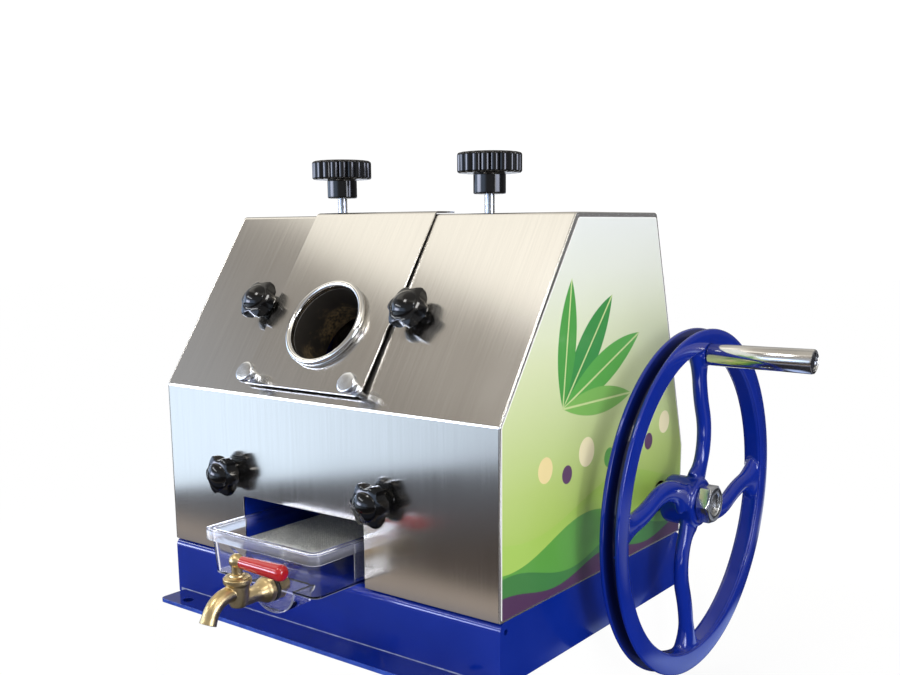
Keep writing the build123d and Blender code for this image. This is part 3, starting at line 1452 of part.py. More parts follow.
# Strainer: a perforated sheet with two turned-down sides that stand on the tray floor
strainer_mid_x = (strainer_left + strainer_right) / 2
strainer_mid_y = (strainer_front + strainer_back) / 2
strainer_width = strainer_right - strainer_left
strainer_length = strainer_back - strainer_front
strainer_column_pitch = (strainer_width - 2 * strainer_side_margin) / (strainer_columns - 1)
strainer_row_pitch = (strainer_length - 2 * strainer_end_margin) / (strainer_rows - 1)
strainer_foot = tray_bottom + tray_wall
with BuildPart() as strainer:
    with BuildSketch(Plane.XZ.offset(-strainer_front)):
        with Locations((strainer_mid_x, strainer_foot)):
            Rectangle(
                strainer_width,
                strainer_top - strainer_foot,
                align=(Align.CENTER, Align.MIN),
            )
        fillet(vertices().group_by(Axis.Y)[-1], strainer_bend)
    extrude(amount=-strainer_length)
    with BuildSketch(Plane.XZ.offset(-strainer_front)):
        with Locations((strainer_mid_x, strainer_foot)):
            Rectangle(
                strainer_width - 2 * strainer_sheet,
                strainer_top - strainer_sheet - strainer_foot,
                align=(Align.CENTER, Align.MIN),
            )
        fillet(vertices().group_by(Axis.Y)[-1], strainer_bend - strainer_sheet)
    extrude(amount=-strainer_length, mode=Mode.SUBTRACT)
    # the turned-down sides stop short of the front, where the flat sheet overhangs
    with BuildSketch(Plane.XY.offset(strainer_foot)):
        for side_x in (strainer_left + strainer_bend / 2, strainer_right - strainer_bend / 2):
            with Locations((side_x, strainer_front)):
                Rectangle(strainer_bend, strainer_overhang, align=(Align.CENTER, Align.MIN))
    extrude(amount=strainer_top - strainer_foot, mode=Mode.SUBTRACT)
    with BuildSketch(Plane.XY.offset(strainer_top)):
        with Locations((strainer_mid_x, strainer_mid_y)):
            with GridLocations(
                strainer_column_pitch, strainer_row_pitch, strainer_columns, strainer_rows
            ):
                Circle(strainer_hole_radius)
    extrude(amount=-strainer_sheet, mode=Mode.SUBTRACT)
strainer.part.label = "strainer"
export_step(strainer.part, "parts/strainer.step")

# Tap: threaded inlet, flange, body with a vertical plug bore and a bent spout
wall_face_y = tray_low_front - tray_draft * (tap_z - tray_bottom) / tray_wall_height
washer_back_y = wall_face_y - tray_draft * tap_washer_radius / tray_wall_height
washer_front_y = washer_back_y - tap_washer_thickness
nut_back_y = tray_low_front + tray_wall
tap_inside_y = nut_back_y + tap_thread_inside
with BuildPart() as tap_body:
    with BuildSketch(Plane.XZ.offset(-tap_inside_y)):
        with Locations((tap_x, tap_z)):
            Circle(tap_thread_radius)
    extrude(amount=tap_inside_y - washer_front_y)
    with BuildSketch(Plane.XZ.offset(-washer_front_y)):
        with Locations((tap_x, tap_z)):
            Circle(tap_flange_radius)
    extrude(amount=tap_flange_thickness)
    with BuildSketch(Plane.XZ.offset(-washer_front_y)):
        with Locations((tap_x, tap_z)):
            Circle(tap_neck_radius)
    extrude(amount=washer_front_y - tap_y)
    with Locations((tap_x, tap_y, (tap_bottom_z + tap_body_top_z) / 2)):
        Cone(tap_body_low_radius, tap_body_high_radius, tap_body_top_z - tap_bottom_z)
    with BuildSketch(Plane.XY.offset(tap_body_top_z)):
        with Locations((tap_x, tap_y)):
            Circle(tap_collar_radius)
    extrude(amount=tap_collar_top_z - tap_body_top_z)
    with BuildLine(Plane.YZ.offset(tap_x)) as spout_path:
        Spline([(tap_y + y, z) for y, z in spout_points])
    with BuildSketch(Plane(origin=spout_path.line @ 0, z_dir=spout_path.line % 0)):
        Circle(spout_radius)
    sweep(path=spout_path.line)
    with BuildSketch(Plane(origin=spout_path.line @ 0, z_dir=spout_path.line % 0)):
        Circle(tap_bore_radius)
    sweep(path=spout_path.line, mode=Mode.SUBTRACT)
    with BuildSketch(Plane.XZ.offset(-tap_inside_y)):
        with Locations((tap_x, tap_z)):
            Circle(tap_bore_radius)
    extrude(amount=tap_inside_y - tap_y, mode=Mode.SUBTRACT)
    with BuildSketch(Plane.XY.offset(tap_bottom_z + tap_floor)):
        with Locations((tap_x, tap_y)):
            Circle(tap_plug_radius + running_clearance)
    extrude(amount=tap_collar_top_z - tap_bottom_z, mode=Mode.SUBTRACT)
tap_body.part.label = "tap_body"
export_step(tap_body.part, "parts/tap_body.step")

with BuildPart() as tap_washer:
    with BuildSketch(Plane.XZ.offset(-washer_back_y)):
        with Locations((tap_x, tap_z)):
            Circle(tap_washer_radius)
            Circle(tap_thread_radius + tap_hole_gap, mode=Mode.SUBTRACT)
    extrude(amount=tap_washer_thickness)
tap_washer.part.label = "tap_washer"
export_step(tap_washer.part, "parts/tap_washer.step")

with BuildPart() as tap_lock_nut:
    with BuildSketch(Plane.XZ.offset(-nut_back_y)):
        with Locations((tap_x, tap_z)):
            RegularPolygon(tap_nut_flats / 2, 6, major_radius=False)
            Circle(tap_thread_radius + thread_clearance, mode=Mode.SUBTRACT)
    extrude(amount=-tap_nut_height)
tap_lock_nut.part.label = "tap_lock_nut"
export_step(tap_lock_nut.part, "parts/tap_lock_nut.step")

with BuildPart() as tap_plug:
    with BuildSketch(Plane.XY.offset(tap_bottom_z + tap_floor)):
        with Locations((tap_x, tap_y)):
            Circle(tap_plug_radius)
    extrude(amount=tap_collar_top_z - tap_bottom_z - tap_floor)
    with BuildSketch(Plane.XY.offset(tap_collar_top_z)):
        with Locations((tap_x, tap_y)):
            Circle(tap_stem_radius)
    extrude(amount=tap_stem_top_z - tap_collar_top_z)
    with BuildSketch(x_plane(tap_x - tap_plug_radius, tap_y, tap_z)):
        Circle(tap_bore_radius)
    extrude(amount=2 * tap_plug_radius, mode=Mode.SUBTRACT)
tap_plug.part.label = "tap_plug"
export_step(tap_plug.part, "parts/tap_plug.step")

with BuildPart() as tap_lever:
    with Locations((tap_x, tap_y, lever_z)):
        Sphere(lever_hub_radius)
    with BuildSketch(x_plane(tap_x, tap_y, lever_z)):
        Circle(lever_arm_radius)
    extrude(amount=lever_arm_length)
    with BuildSketch(Plane.XY.offset(tap_stem_top_z)):
        with Locations((tap_x, tap_y)):
            Circle(2 * lever_hub_radius)
    extrude(amount=-2 * lever_hub_radius, mode=Mode.SUBTRACT)
tap_lever.part.label = "tap_lever"
export_step(tap_lever.part, "parts/tap_lever.step")

sleeve_plane = Plane(origin=(tap_x, tap_y, lever_z), x_dir=(1, 0, 0), z_dir=(0, -1, 0))
sleeve_end = sleeve_start + sleeve_length
cap_radius = (sleeve_end_radius**2 + sleeve_cap**2) / (2 * sleeve_cap)
cap_half = asin(sleeve_end_radius / cap_radius) / 2
cap_middle = (sleeve_end - cap_radius + cap_radius * cos(cap_half), cap_radius * sin(cap_half))
with BuildPart() as lever_sleeve:
    with BuildSketch(sleeve_plane):
        with BuildLine():
            Polyline(
                (sleeve_end, 0),
                (sleeve_start, 0),
                (sleeve_start, sleeve_root_radius),
                (sleeve_end - sleeve_cap, sleeve_end_radius),
            )
            ThreePointArc((sleeve_end - sleeve_cap, sleeve_end_radius), cap_middle, (sleeve_end, 0))
        make_face()
    revolve(axis=Axis((tap_x, tap_y, lever_z), (1, 0, 0)))
    with BuildSketch(x_plane(tap_x + sleeve_start, tap_y, lever_z)):
        Circle(lever_arm_radius + fit_gap)
    extrude(amount=lever_arm_length - sleeve_start, mode=Mode.SUBTRACT)
lever_sleeve.part.label = "lever_sleeve"
export_step(lever_sleeve.part, "parts/lever_sleeve.step")
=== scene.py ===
import math

import bmesh
import bpy
from mathutils import Matrix, Vector


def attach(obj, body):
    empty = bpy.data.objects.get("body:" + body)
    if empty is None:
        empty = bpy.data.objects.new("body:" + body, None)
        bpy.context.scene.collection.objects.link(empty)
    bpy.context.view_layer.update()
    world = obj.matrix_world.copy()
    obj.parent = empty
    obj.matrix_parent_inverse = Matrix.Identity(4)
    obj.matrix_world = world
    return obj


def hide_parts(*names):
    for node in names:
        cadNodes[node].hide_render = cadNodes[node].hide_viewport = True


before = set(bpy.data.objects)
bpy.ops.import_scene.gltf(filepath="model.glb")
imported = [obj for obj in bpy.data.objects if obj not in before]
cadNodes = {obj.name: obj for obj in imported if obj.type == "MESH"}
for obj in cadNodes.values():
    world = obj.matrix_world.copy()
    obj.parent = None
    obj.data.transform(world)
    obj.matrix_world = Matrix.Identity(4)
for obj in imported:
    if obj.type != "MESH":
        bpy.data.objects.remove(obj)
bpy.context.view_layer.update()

bpy.ops.object.select_all(action="DESELECT")  # the load leaves every CAD node selected
print("frame loaded:", len(cadNodes), "nodes")

# places that several pieces share, in metres
mill = {"x": -0.016, "leftCheek": -0.1085, "rightCheek": 0.0765}
slope = {
    "foot": Vector((0, -0.160, 0.2135)),
    "up": Vector((0, 0.558241, 0.829679)),
    "out": Vector((0, -0.829679, 0.558241)),
}
wheelAxis = (0.113, 0.102731)  # Y and Z
zero, alongX, alongY, alongZ = (0, 0, 0), (1, 0, 0), (0, 1, 0), (0, 0, 1)


def slopePoint(x, up, out):
    return slope["foot"] + Vector((x, 0, 0)) + slope["up"] * up + slope["out"] * out


# modelling helpers
def editMode():
    bpy.ops.object.mode_set(mode="EDIT")


def objectMode():
    bpy.ops.object.mode_set(mode="OBJECT")


def startClean():
    if bpy.context.object and bpy.context.object.mode != "OBJECT":
        objectMode()
    bpy.ops.object.select_all(action="DESELECT")


def makeActive(obj):
    startClean()
    obj.select_set(True)
    bpy.context.view_layer.objects.active = obj


def selectAll():
    bpy.ops.mesh.select_all(action="SELECT")


def applyPlace():
    bpy.ops.object.transform_apply(location=True, rotation=True, scale=True)


def extrudeBy(move):
    bpy.ops.mesh.extrude_region_move(TRANSFORM_OT_translate={"value": move})


def resizeAt(centre, *shares):
    bpy.ops.transform.resize(value=shares, center_override=centre)


def turnAboutX(angle, centre):
    bpy.ops.transform.rotate(value=angle, orient_axis="X", center_override=centre)


def pickVerts(obj, test):
    # select the points whose place passes the test
    bpy.ops.mesh.select_mode(type="VERT")
    bpy.ops.mesh.select_all(action="DESELECT")
    mesh = bmesh.from_edit_mesh(obj.data)
    for vert in mesh.verts:
        vert.select = bool(test(obj.matrix_world @ vert.co))
    mesh.select_flush(True)
    bmesh.update_edit_mesh(obj.data)


def stepsAway(place, x, count, perPart):
    # points between a place and the nearest lobe or groove, counted round the axis at x
    away = round(math.atan2(place.y, place.x - x) / math.tau * count) % perPart
    return min(away, perPart - away)


def cleanUp():
    # merge doubles, turn the faces outwards and leave edit mode
    bpy.ops.mesh.select_mode(type="VERT")
    selectAll()
    bpy.ops.mesh.remove_doubles(threshold=1e-6)
    bpy.ops.mesh.normals_make_consistent(inside=False)
    objectMode()


def closeEnds():
    bpy.ops.mesh.select_all(action="DESELECT")
    bpy.ops.mesh.select_mode(type="EDGE")
    bpy.ops.mesh.select_non_manifold()
    bpy.ops.mesh.edge_face_add()
    cleanUp()


def addModifier(obj, kind, **settings):
    modifier = obj.modifiers.new(kind.title(), kind)
    for key, value in settings.items():
        setattr(modifier, key, value)
    return modifier.name


def applyModifier(obj, kind, **settings):
    makeActive(obj)
    bpy.ops.object.modifier_apply(modifier=addModifier(obj, kind, **settings))


def roundEdges(obj, width, segments, angle):
    applyModifier(
        obj, "BEVEL", width=width, segments=segments, limit_method="ANGLE",
        angle_limit=math.radians(angle), use_clamp_overlap=True)


def flatSheet(wide, long, place):
    startClean()
    bpy.ops.mesh.primitive_plane_add(size=1, location=place)
    sheet = bpy.context.object
    sheet.scale = (wide, long, 1)
    applyPlace()
    return sheet


def startRing(count, radius, place=zero, fill="NOTHING"):
    startClean()
    bpy.ops.mesh.primitive_circle_add(vertices=count, radius=radius, fill_type=fill, location=place)
    return bpy.context.object


def solidBlock(size, place, turn=0.0):
    startClean()
    bpy.ops.mesh.primitive_cube_add(size=1, location=place)
    block = bpy.context.object
    block.scale, block.rotation_euler = size, (math.radians(turn), 0, 0)
    applyPlace()
    return block


def drawLine(points):
    # one edge after another, left selected in edit mode
    startClean()
    bpy.ops.mesh.primitive_plane_add(size=0.001, location=points[0])
    editMode()
    bpy.ops.mesh.merge(type="CENTER")
    for here, there in zip(points, points[1:]):
        bpy.ops.mesh.extrude_vertices_move(TRANSFORM_OT_translate={"value": there - here})
    selectAll()
    return bpy.context.object


def turned(profile, origin, axis, steps):
    # a profile of (along, radius) pairs, drawn point by point and spun round the axis
    axis = Vector(axis).normalized()
    side = axis.cross(Vector(alongX if abs(axis.x) < 0.5 else alongY)).normalized()
    shape = drawLine([Vector(origin) + axis * along + side * radius for along, radius in profile])
    bpy.ops.mesh.spin(steps=steps, angle=math.tau, center=origin, axis=axis)
    cleanUp()
    applyPlace()
    return shape


def plainRod(radius, start, end, origin, axis, steps):
    return turned([(start, 0), (start, radius), (end, radius), (end, 0)], origin, axis, steps)


def arcPoints(centre, radius, start, end, count):
    # profile points along an arc, angles in degrees
    angles = [math.radians(start + (end - start) * i / (count - 1)) for i in range(count)]
    return [(centre[0] + radius * math.cos(a), centre[1] + radius * math.sin(a)) for a in angles]


def circleThrough(a, b, c):
    # middle of the circle through three points of a plane
    d = 2 * (a[0] * (b[1] - c[1]) + b[0] * (c[1] - a[1]) + c[0] * (a[1] - b[1]))
    sums = [p[0] ** 2 + p[1] ** 2 for p in (a, b, c)]
    ux = (sums[0] * (b[1] - c[1]) + sums[1] * (c[1] - a[1]) + sums[2] * (a[1] - b[1])) / d
    uy = (sums[0] * (c[0] - b[0]) + sums[1] * (a[0] - c[0]) + sums[2] * (b[0] - a[0])) / d
    return Vector((ux, uy))


def tangentArcCentre(start, direction, end):
    # middle of the arc that leaves start along the direction and passes the end
    normal = Vector((-direction.y, direction.x))
    chord = end - start
    return start + normal * (chord.length_squared / (2 * chord.dot(normal)))


def sweepAngle(centre, start, end):
    a, b = start - centre, end - centre
    return math.atan2(a.x * b.y - a.y * b.x, a.dot(b))


def headingAt(point, centre, sweep):
    # direction of travel at a point of an arc
    arm = (point - centre).normalized()
    return Vector((-arm.y, arm.x)) * (1 if sweep > 0 else -1)


def joinPieces(first, *others):
    makeActive(first)
    for other in others:
        other.select_set(True)
    bpy.ops.object.join()
    return first


def combine(obj, cutter, operation="DIFFERENCE"):
    applyModifier(obj, "BOOLEAN", object=cutter, operation=operation, solver="MANIFOLD")
    bpy.data.objects.remove(cutter)


def meltTogether(obj, voxel, rounds):
    # one casting: melt the pieces together and let the corners fill in
    applyModifier(obj, "REMESH", mode="VOXEL", voxel_size=voxel, adaptivity=0.0)
    applyModifier(obj, "SMOOTH", factor=0.5, iterations=rounds)


def copyPiece(obj):
    makeActive(obj)
    bpy.ops.object.duplicate(linked=False)
    return bpy.context.object


def standAt(obj, place, normal):
    # turn a piece made along Z at the origin so that Z points along the normal, then move it
    obj.rotation_mode = "QUATERNION"
    obj.rotation_quaternion = Vector(alongZ).rotation_difference(Vector(normal))
    obj.location = place


def finishPiece(obj, name, material, body, node, smooth, flats=False):
    makeActive(obj)
    applyPlace()
    bpy.ops.object.shade_smooth_by_angle(angle=math.radians(smooth))
    if flats:  # wide faces stay flat beside their rounded edges
        applyModifier(obj, "WEIGHTED_NORMAL", weight=100, keep_sharp=True)
    obj.name = obj.data.name = name
    obj.data.materials.clear()
    obj.data.materials.append(material)
    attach(obj, body)
    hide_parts(node)


# node helpers
def setInputs(tree, node, values):
    # link a socket or set a plain value; colours are given as three numbers
    for label, value in values.items():
        socket = node.inputs[label]
        if isinstance(value, bpy.types.NodeSocket):
            tree.links.new(value, socket)
        else:
            socket.default_value = (*value, 1) if socket.type == "RGBA" else value


def addNode(tree, kind, values={}, **settings):
    node = tree.nodes.new("ShaderNode" + kind)
    for key, setting in settings.items():
        setattr(node, key, setting)
    setInputs(tree, node, values)
    return node


def objectXyz(tree, kind="Object"):
    return addNode(tree, "SeparateXYZ", {0: addNode(tree, "TexCoord").outputs[kind]}).outputs


def noiseNode(tree, vector, scale, detail, roughness=0.5):
    return addNode(tree, "TexNoise", {
        "Vector": vector, "Scale": scale, "Detail": detail, "Roughness": roughness}).outputs["Fac"]


def grade(tree, value, low, high, toLow=0.0, toHigh=1.0, kind="LINEAR"):
    return addNode(tree, "MapRange", {
        "Value": value, "From Min": low, "From Max": high, "To Min": toLow, "To Max": toHigh,
    }, interpolation_type=kind).outputs["Result"]


def softGrade(tree, value, low, high, toLow=0.0, toHigh=1.0):
    return grade(tree, value, low, high, toLow, toHigh, "SMOOTHSTEP")


def calc(tree, operation, *values):
    return addNode(tree, "Math", dict(enumerate(values)), operation=operation).outputs[0]


def product(tree, first, *others):
    for other in others:
        first = calc(tree, "MULTIPLY", first, other)
    return first


def largest(tree, first, *others):
    for other in others:
        first = calc(tree, "MAXIMUM", first, other)
    return first


def apart(tree, value, middle):
    return calc(tree, "ABSOLUTE", calc(tree, "SUBTRACT", value, middle))


def edgeLine(tree, value, middle, half):
    # 1 on a line, fading to 0 at both sides
    return softGrade(tree, apart(tree, value, middle), half * 0.4, half, 1, 0)


def lengthOf(tree, a, b):
    return calc(tree, "SQRT", calc(tree, "ADD", product(tree, a, a), product(tree, b, b)))


def fromPoint(tree, a, b, point):
    return lengthOf(tree, calc(tree, "SUBTRACT", a, point[0]), calc(tree, "SUBTRACT", b, point[1]))


def toward(tree, a, b, direction):
    return calc(tree, "MULTIPLY_ADD", a, direction[0], product(tree, b, direction[1]))


def mixColours(tree, mask, first, second):
    # the colour sockets of a mix node come seventh and eighth
    return addNode(tree, "Mix", {"Factor": mask, 6: first, 7: second}, data_type="RGBA").outputs[2]


def mixShaders(tree, factor, first, second):
    return addNode(tree, "MixShader", {0: factor, 1: first.outputs[0], 2: second.outputs[0]})


def showShader(tree, shader):
    setInputs(tree, tree.nodes["Material Output"], {"Surface": shader.outputs[0]})


def colourRamp(tree, value, wanted):
    ramp = addNode(tree, "ValToRGB", {"Fac": value})
    stops = ramp.color_ramp.elements
    while len(stops) < len(wanted):
        stops.new(0.5)
    for stop, (at, colour) in zip(stops, wanted):
        stop.position = at
        stop.color = (*colour, 1)
    return ramp.outputs["Color"]


# shader groups: each puts out values that change over the surface
def makeGroup(name, inputs, *outputs):
    group = bpy.data.node_groups.new(name, "ShaderNodeTree")
    for label, value in inputs.items():
        kind = "NodeSocketVector" if isinstance(value, tuple) else "NodeSocketFloat"
        group.interface.new_socket(name=label, in_out="INPUT", socket_type=kind).default_value = value
    for label in outputs:
        group.interface.new_socket(name=label, in_out="OUTPUT", socket_type="NodeSocketFloat")
    place = addNode(group, "TexCoord").outputs["Object"]
    return group, place, group.nodes.new("NodeGroupInput").outputs, group.nodes.new("NodeGroupOutput")


def buildBrushGrain():
    # long hairline grain: Stretch is high across the grain and low along it
    group, place, given, leave = makeGroup("brushGrain", {"Stretch": (900, 12, 12)}, "Grain", "Hairline")
    stretched = addNode(group, "VectorMath", {0: place, 1: given["Stretch"]}, operation="MULTIPLY").outputs[0]
    fine = noiseNode(group, stretched, 0.31, 2.0, 0.6)
    setInputs(group, leave, {
        "Grain": noiseNode(group, stretched, 1.0, 3.0, 0.65), "Hairline": softGrade(group, fine, 0.60, 0.72)})
    return group


def buildMottle():
    # slow cloudy change between two values, for handling marks and uneven polish
    group, place, given, leave = makeGroup("mottle", {"Scale": 20.0, "Low": 0.2, "High": 0.4}, "Value")
    noise = noiseNode(group, place, given["Scale"], 4.0)
    setInputs(group, leave, {"Value": softGrade(group, noise, 0.3, 0.7, given["Low"], given["High"])})
    return group


def buildSurfaceRipple():
    # height of a lacquer's orange peel or a casting's skin
    group, place, given, leave = makeGroup("surfaceRipple", {"Scale": 300.0, "Coarse": 0.5}, "Height")
    fine = noiseNode(group, place, given["Scale"], 2.0)
    coarse = noiseNode(group, place, product(group, given["Scale"], 0.28), 1.0)
    setInputs(group, leave, {"Height": calc(group, "ADD", fine, product(group, coarse, given["Coarse"]))})
    return group


brushGrain = buildBrushGrain()
mottle = buildMottle()
surfaceRipple = buildSurfaceRipple()


def mottled(tree, scale, low=0.0, high=1.0):
    values = {"Scale": scale, "Low": low, "High": high}
    return addNode(tree, "Group", values, node_tree=mottle).outputs["Value"]


def rippled(tree, scale, coarse):
    values = {"Scale": scale, "Coarse": coarse}
    return addNode(tree, "Group", values, node_tree=surfaceRipple).outputs["Height"]


# materials
def shaderOf(material):
    return material.node_tree, material.node_tree.nodes["Principled BSDF"]


def newMaterial(name, values={}):
    material = bpy.data.materials.new(name)
    material.use_nodes = True
    tree, shader = shaderOf(material)
    setInputs(tree, shader, values)
    return material, tree, shader


def addBump(tree, shader, height, strength, distance):
    bump = addNode(tree, "Bump", {"Strength": strength, "Distance": distance, "Height": height})
    setInputs(tree, shader, {"Normal": bump.outputs["Normal"]})


def fedBy(shader, label):
    return shader.inputs[label].links[0].from_socket


def twoTone(name, values, toneScale, dark, light, roughScale, lowRough, highRough):
    # a cloudy change between two tones, and another one of the polish
    material, tree, shader = newMaterial(name, values)
    setInputs(tree, shader, {
        "Base Color": mixColours(tree, mottled(tree, toneScale), dark, light),
        "Roughness": mottled(tree, roughScale, lowRough, highRough)})
    return material, tree, shader


steelTones = {"dark": (0.60, 0.585, 0.56), "light": (0.71, 0.695, 0.67)}


def brushedSteel(name, stretch, across, metal=1.0):
    # the reflection smears across the grain, so the tangent points that way
    material, tree, shader = newMaterial(name, {"Metallic": metal, "Anisotropic": 0.8})
    group = addNode(tree, "Group", {"Stretch": stretch}, node_tree=brushGrain)
    grain, hairline = group.outputs
    rough = grade(tree, grain, 0.25, 0.75, 0.145, 0.175)
    setInputs(tree, shader, {
        "Base Color": mixColours(tree, grain, steelTones["dark"], steelTones["light"]),
        "Roughness": calc(tree, "ADD", rough, mottled(tree, 9.0, -0.012, 0.012)),
        "Tangent": addNode(tree, "CombineXYZ", dict(enumerate(across))).outputs[0]})
    addBump(tree, shader, calc(tree, "SUBTRACT", grain, hairline), 0.022, 0.00012)
    return material


def simpleMetal(name, colour, lowRough, highRough, scale, bump=0.0, shade=0.8):
    # plain metal with a cloudy polish and a slight change of tone
    darker = tuple(c * shade for c in colour)
    material, tree, shader = twoTone(
        name, {"Metallic": 1.0}, scale * 0.6, darker, colour, scale, lowRough, highRough)
    if bump:
        addBump(tree, shader, rippled(tree, scale * 3, 0.8), bump, 0.0004)
    return material


def lacquer(name, dark, light, lowRough, highRough, scale, bump, coat, shine=0.3):
    # coloured coating: paint, moulded plastic or dipped sleeve
    values = {"Coat Weight": coat, "Coat Roughness": 0.04, "Specular IOR Level": shine}
    material, tree, shader = twoTone(name, values, scale * 0.1, dark, light, scale * 0.2, lowRough, highRough)
    addBump(tree, shader, rippled(tree, scale, 0.7), bump, 0.0004)
    return material


def rollerMaterial():
    # pressed rollers: shallow grooves round them, brown from juice
    material, tree, shader = twoTone(
        "roller_steel", {"Metallic": 0.45}, 70.0, (0.10, 0.075, 0.05), (0.42, 0.35, 0.26), 40.0, 0.32, 0.5)
    groove = calc(tree, "SINE", product(tree, objectXyz(tree)["X"], 1900.0))
    height = calc(tree, "ADD", product(tree, groove, 0.35), rippled(tree, 420.0, 1.2))
    addBump(tree, shader, height, 0.5, 0.0008)
    return material


wrapSteel = brushedSteel("brushed_wrap", (700, 9, 9), alongX)
sideSteel = brushedSteel("brushed_side", (9, 700, 9), alongY, 0.87)
zincPlate = simpleMetal("zinc_plate", (0.72, 0.74, 0.77), 0.16, 0.26, 140.0, 0.03, 0.88)
machinedSteel = simpleMetal("machined_steel", (0.50, 0.49, 0.47), 0.24, 0.40, 90.0, 0.05)
gearSteel = simpleMetal("gear_steel", (0.34, 0.34, 0.35), 0.30, 0.48, 110.0, 0.08)
bearingBronze = simpleMetal("bearing_bronze", (0.60, 0.37, 0.16), 0.28, 0.44, 120.0, 0.05)
castBrass = simpleMetal("cast_brass", (0.64, 0.49, 0.25), 0.30, 0.40, 160.0, 0.03, 0.9)
brightChrome = simpleMetal("bright_chrome", (0.80, 0.79, 0.77), 0.09, 0.16, 45.0)
bluePaint, basePaint = [
    lacquer(name, (0.0020, 0.0155, 0.205), (0.0028, 0.0190, 0.24), 0.14, 0.20, 120.0, 0.02, 0.75, 0.18)
    for name in ("blue_paint", "base_blue_paint")]
castBlue, rimBlue = [
    lacquer(name, (0.0022, 0.0155, 0.215), (0.0032, 0.0190, 0.26), 0.14, 0.20, 140.0, 0.03, 0.85, 0.08)
    for name in ("cast_blue_paint", "rim_blue_paint")]
blackPlastic = lacquer(
    "black_plastic", (0.0018, 0.0018, 0.0022), (0.003, 0.003, 0.0036), 0.12, 0.18, 300.0, 0.015, 0.4, 0.2)
blackRubber = lacquer(
    "black_rubber", (0.010, 0.010, 0.010), (0.018, 0.017, 0.016), 0.50, 0.70, 500.0, 0.12, 0.0)
redDip = lacquer("red_sleeve", (0.33, 0.006, 0.009), (0.40, 0.010, 0.013), 0.16, 0.22, 200.0, 0.02, 0.8)
rollerSteel = rollerMaterial()
strainerSteel = twoTone(
    "strainer_steel", {"Metallic": 0.9}, 900.0, (0.40, 0.41, 0.40), (0.70, 0.71, 0.68), 60.0, 0.38, 0.52)[0]
print("shared materials made:", len(bpy.data.materials))

# base: painted shade darkens the flat flanges; painted highlights make a pale line along their inner bend and
# a lighter line along their outer edge
baseSizes = {
    "thick": 0.0035, "bend": 0.160, "edge": 0.192, "dullAndShaded": (0.0014, 0.0105, 0.140),
    "paintedEdgeHighlight": (0.030, 0.075, 0.40), "pale": (0.26, 0.29, 0.42),
}


def paintFlangeShadeAndHighlights(material, p):
    tree, shader = shaderOf(material)
    x, y, z = objectXyz(tree)
    fromMiddle = calc(tree, "ABSOLUTE", y)
    patchy = mottled(tree, 90.0, 0.55, 1.0)
    low = grade(tree, z, p["thick"] + 0.0004, p["thick"] + 0.0010, 1, 0)
    nearBend = grade(tree, fromMiddle, p["bend"] + 0.0006, p["bend"] + 0.0010, 1, 0)
    nearFlat = grade(tree, z, p["thick"] + 0.0005, p["thick"] + 0.0009, 1, 0)
    paintedEdgeHighlight = grade(tree, fromMiddle, p["edge"] - 0.0013, p["edge"] - 0.0006)
    # painted shade: the flat flanges take a darker blue
    colour = mixColours(tree, low, fedBy(shader, "Base Color"), p["dullAndShaded"])
    # painted highlight: a lighter blue line along the flange's outer edge, broken up in patches
    colour = mixColours(tree, product(tree, paintedEdgeHighlight, patchy), colour, p["paintedEdgeHighlight"])
    # painted highlight: a pale line along the inner bend, broken up in patches
    colour = mixColours(tree, product(tree, nearBend, nearFlat, patchy), colour, p["pale"])
    setInputs(tree, shader, {"Base Color": colour})


paintFlangeShadeAndHighlights(basePaint, baseSizes)

# CAD nodes that keep their shape get a finish
nodeFinish = [
    (wrapSteel, "cover bagasse_chute"),
    (sideSteel, "left_side_panel right_side_panel"),
    (basePaint, "base_frame"),
    (bluePaint, "base_end_plates left_cheek right_cheek"),
    (zincPlate, "cheek_bolts tie_nuts bridge_bolts shaft_collar"),
    (machinedSteel, "tie_bars left_bridge right_bridge trash_plate pressure_pads drive_shaft"),
    (machinedSteel, "front_gear_key rear_gear_keys top_gear_key pinion_key wheel_key"),
    (rollerSteel, "front_roller rear_roller top_roller"),
    (gearSteel, "front_roller_gear rear_roller_gear top_roller_gear drive_gear drive_pinion"),
    (bearingBronze, "lower_roller_bushes drive_shaft_bushes left_top_block right_top_block"),
    (castBrass, "tap_lock_nut tap_plug"),
]
for finish, names in nodeFinish:
    for name in names.split():
        cadNodes[name].data.materials.clear()
        cadNodes[name].data.materials.append(finish)

# folded sheets and plates: melt the flat facets together, then break the sharp edges
edgeWidths = {
    "cover": 0.0003, "left_side_panel": 0.0007, "right_side_panel": 0.0007, "base_frame": 0.0009,
    "base_end_plates": 0.0009,
}
for name, width in edgeWidths.items():
    addModifier(cadNodes[name], "WELD", merge_threshold=1e-5)
    addModifier(cadNodes[name], "DECIMATE", decimate_type="DISSOLVE", angle_limit=math.radians(0.4))
    addModifier(
        cadNodes[name], "BEVEL", width=width, segments=3, limit_method="ANGLE", angle_limit=math.radians(40))
    addModifier(cadNodes[name], "WEIGHTED_NORMAL", weight=100)
print("CAD nodes finished")

# feed panel: one thin sheet bent over the cover's top edge, its lower edge lifted off the slope
panelSizes = {
    "left": -0.093, "right": 0.055, "low": 0.009, "bendStart": 0.1926, "bendInside": -0.005, "bend": 56.07,
    "bendSteps": 8, "flatEnd": 0.0233, "corner": 0.006, "sheet": 0.0015, "topHigh": 0.0026, "lowHigh": 0.0056,
    "hole": 0.0396, "holeUp": 0.075,
}


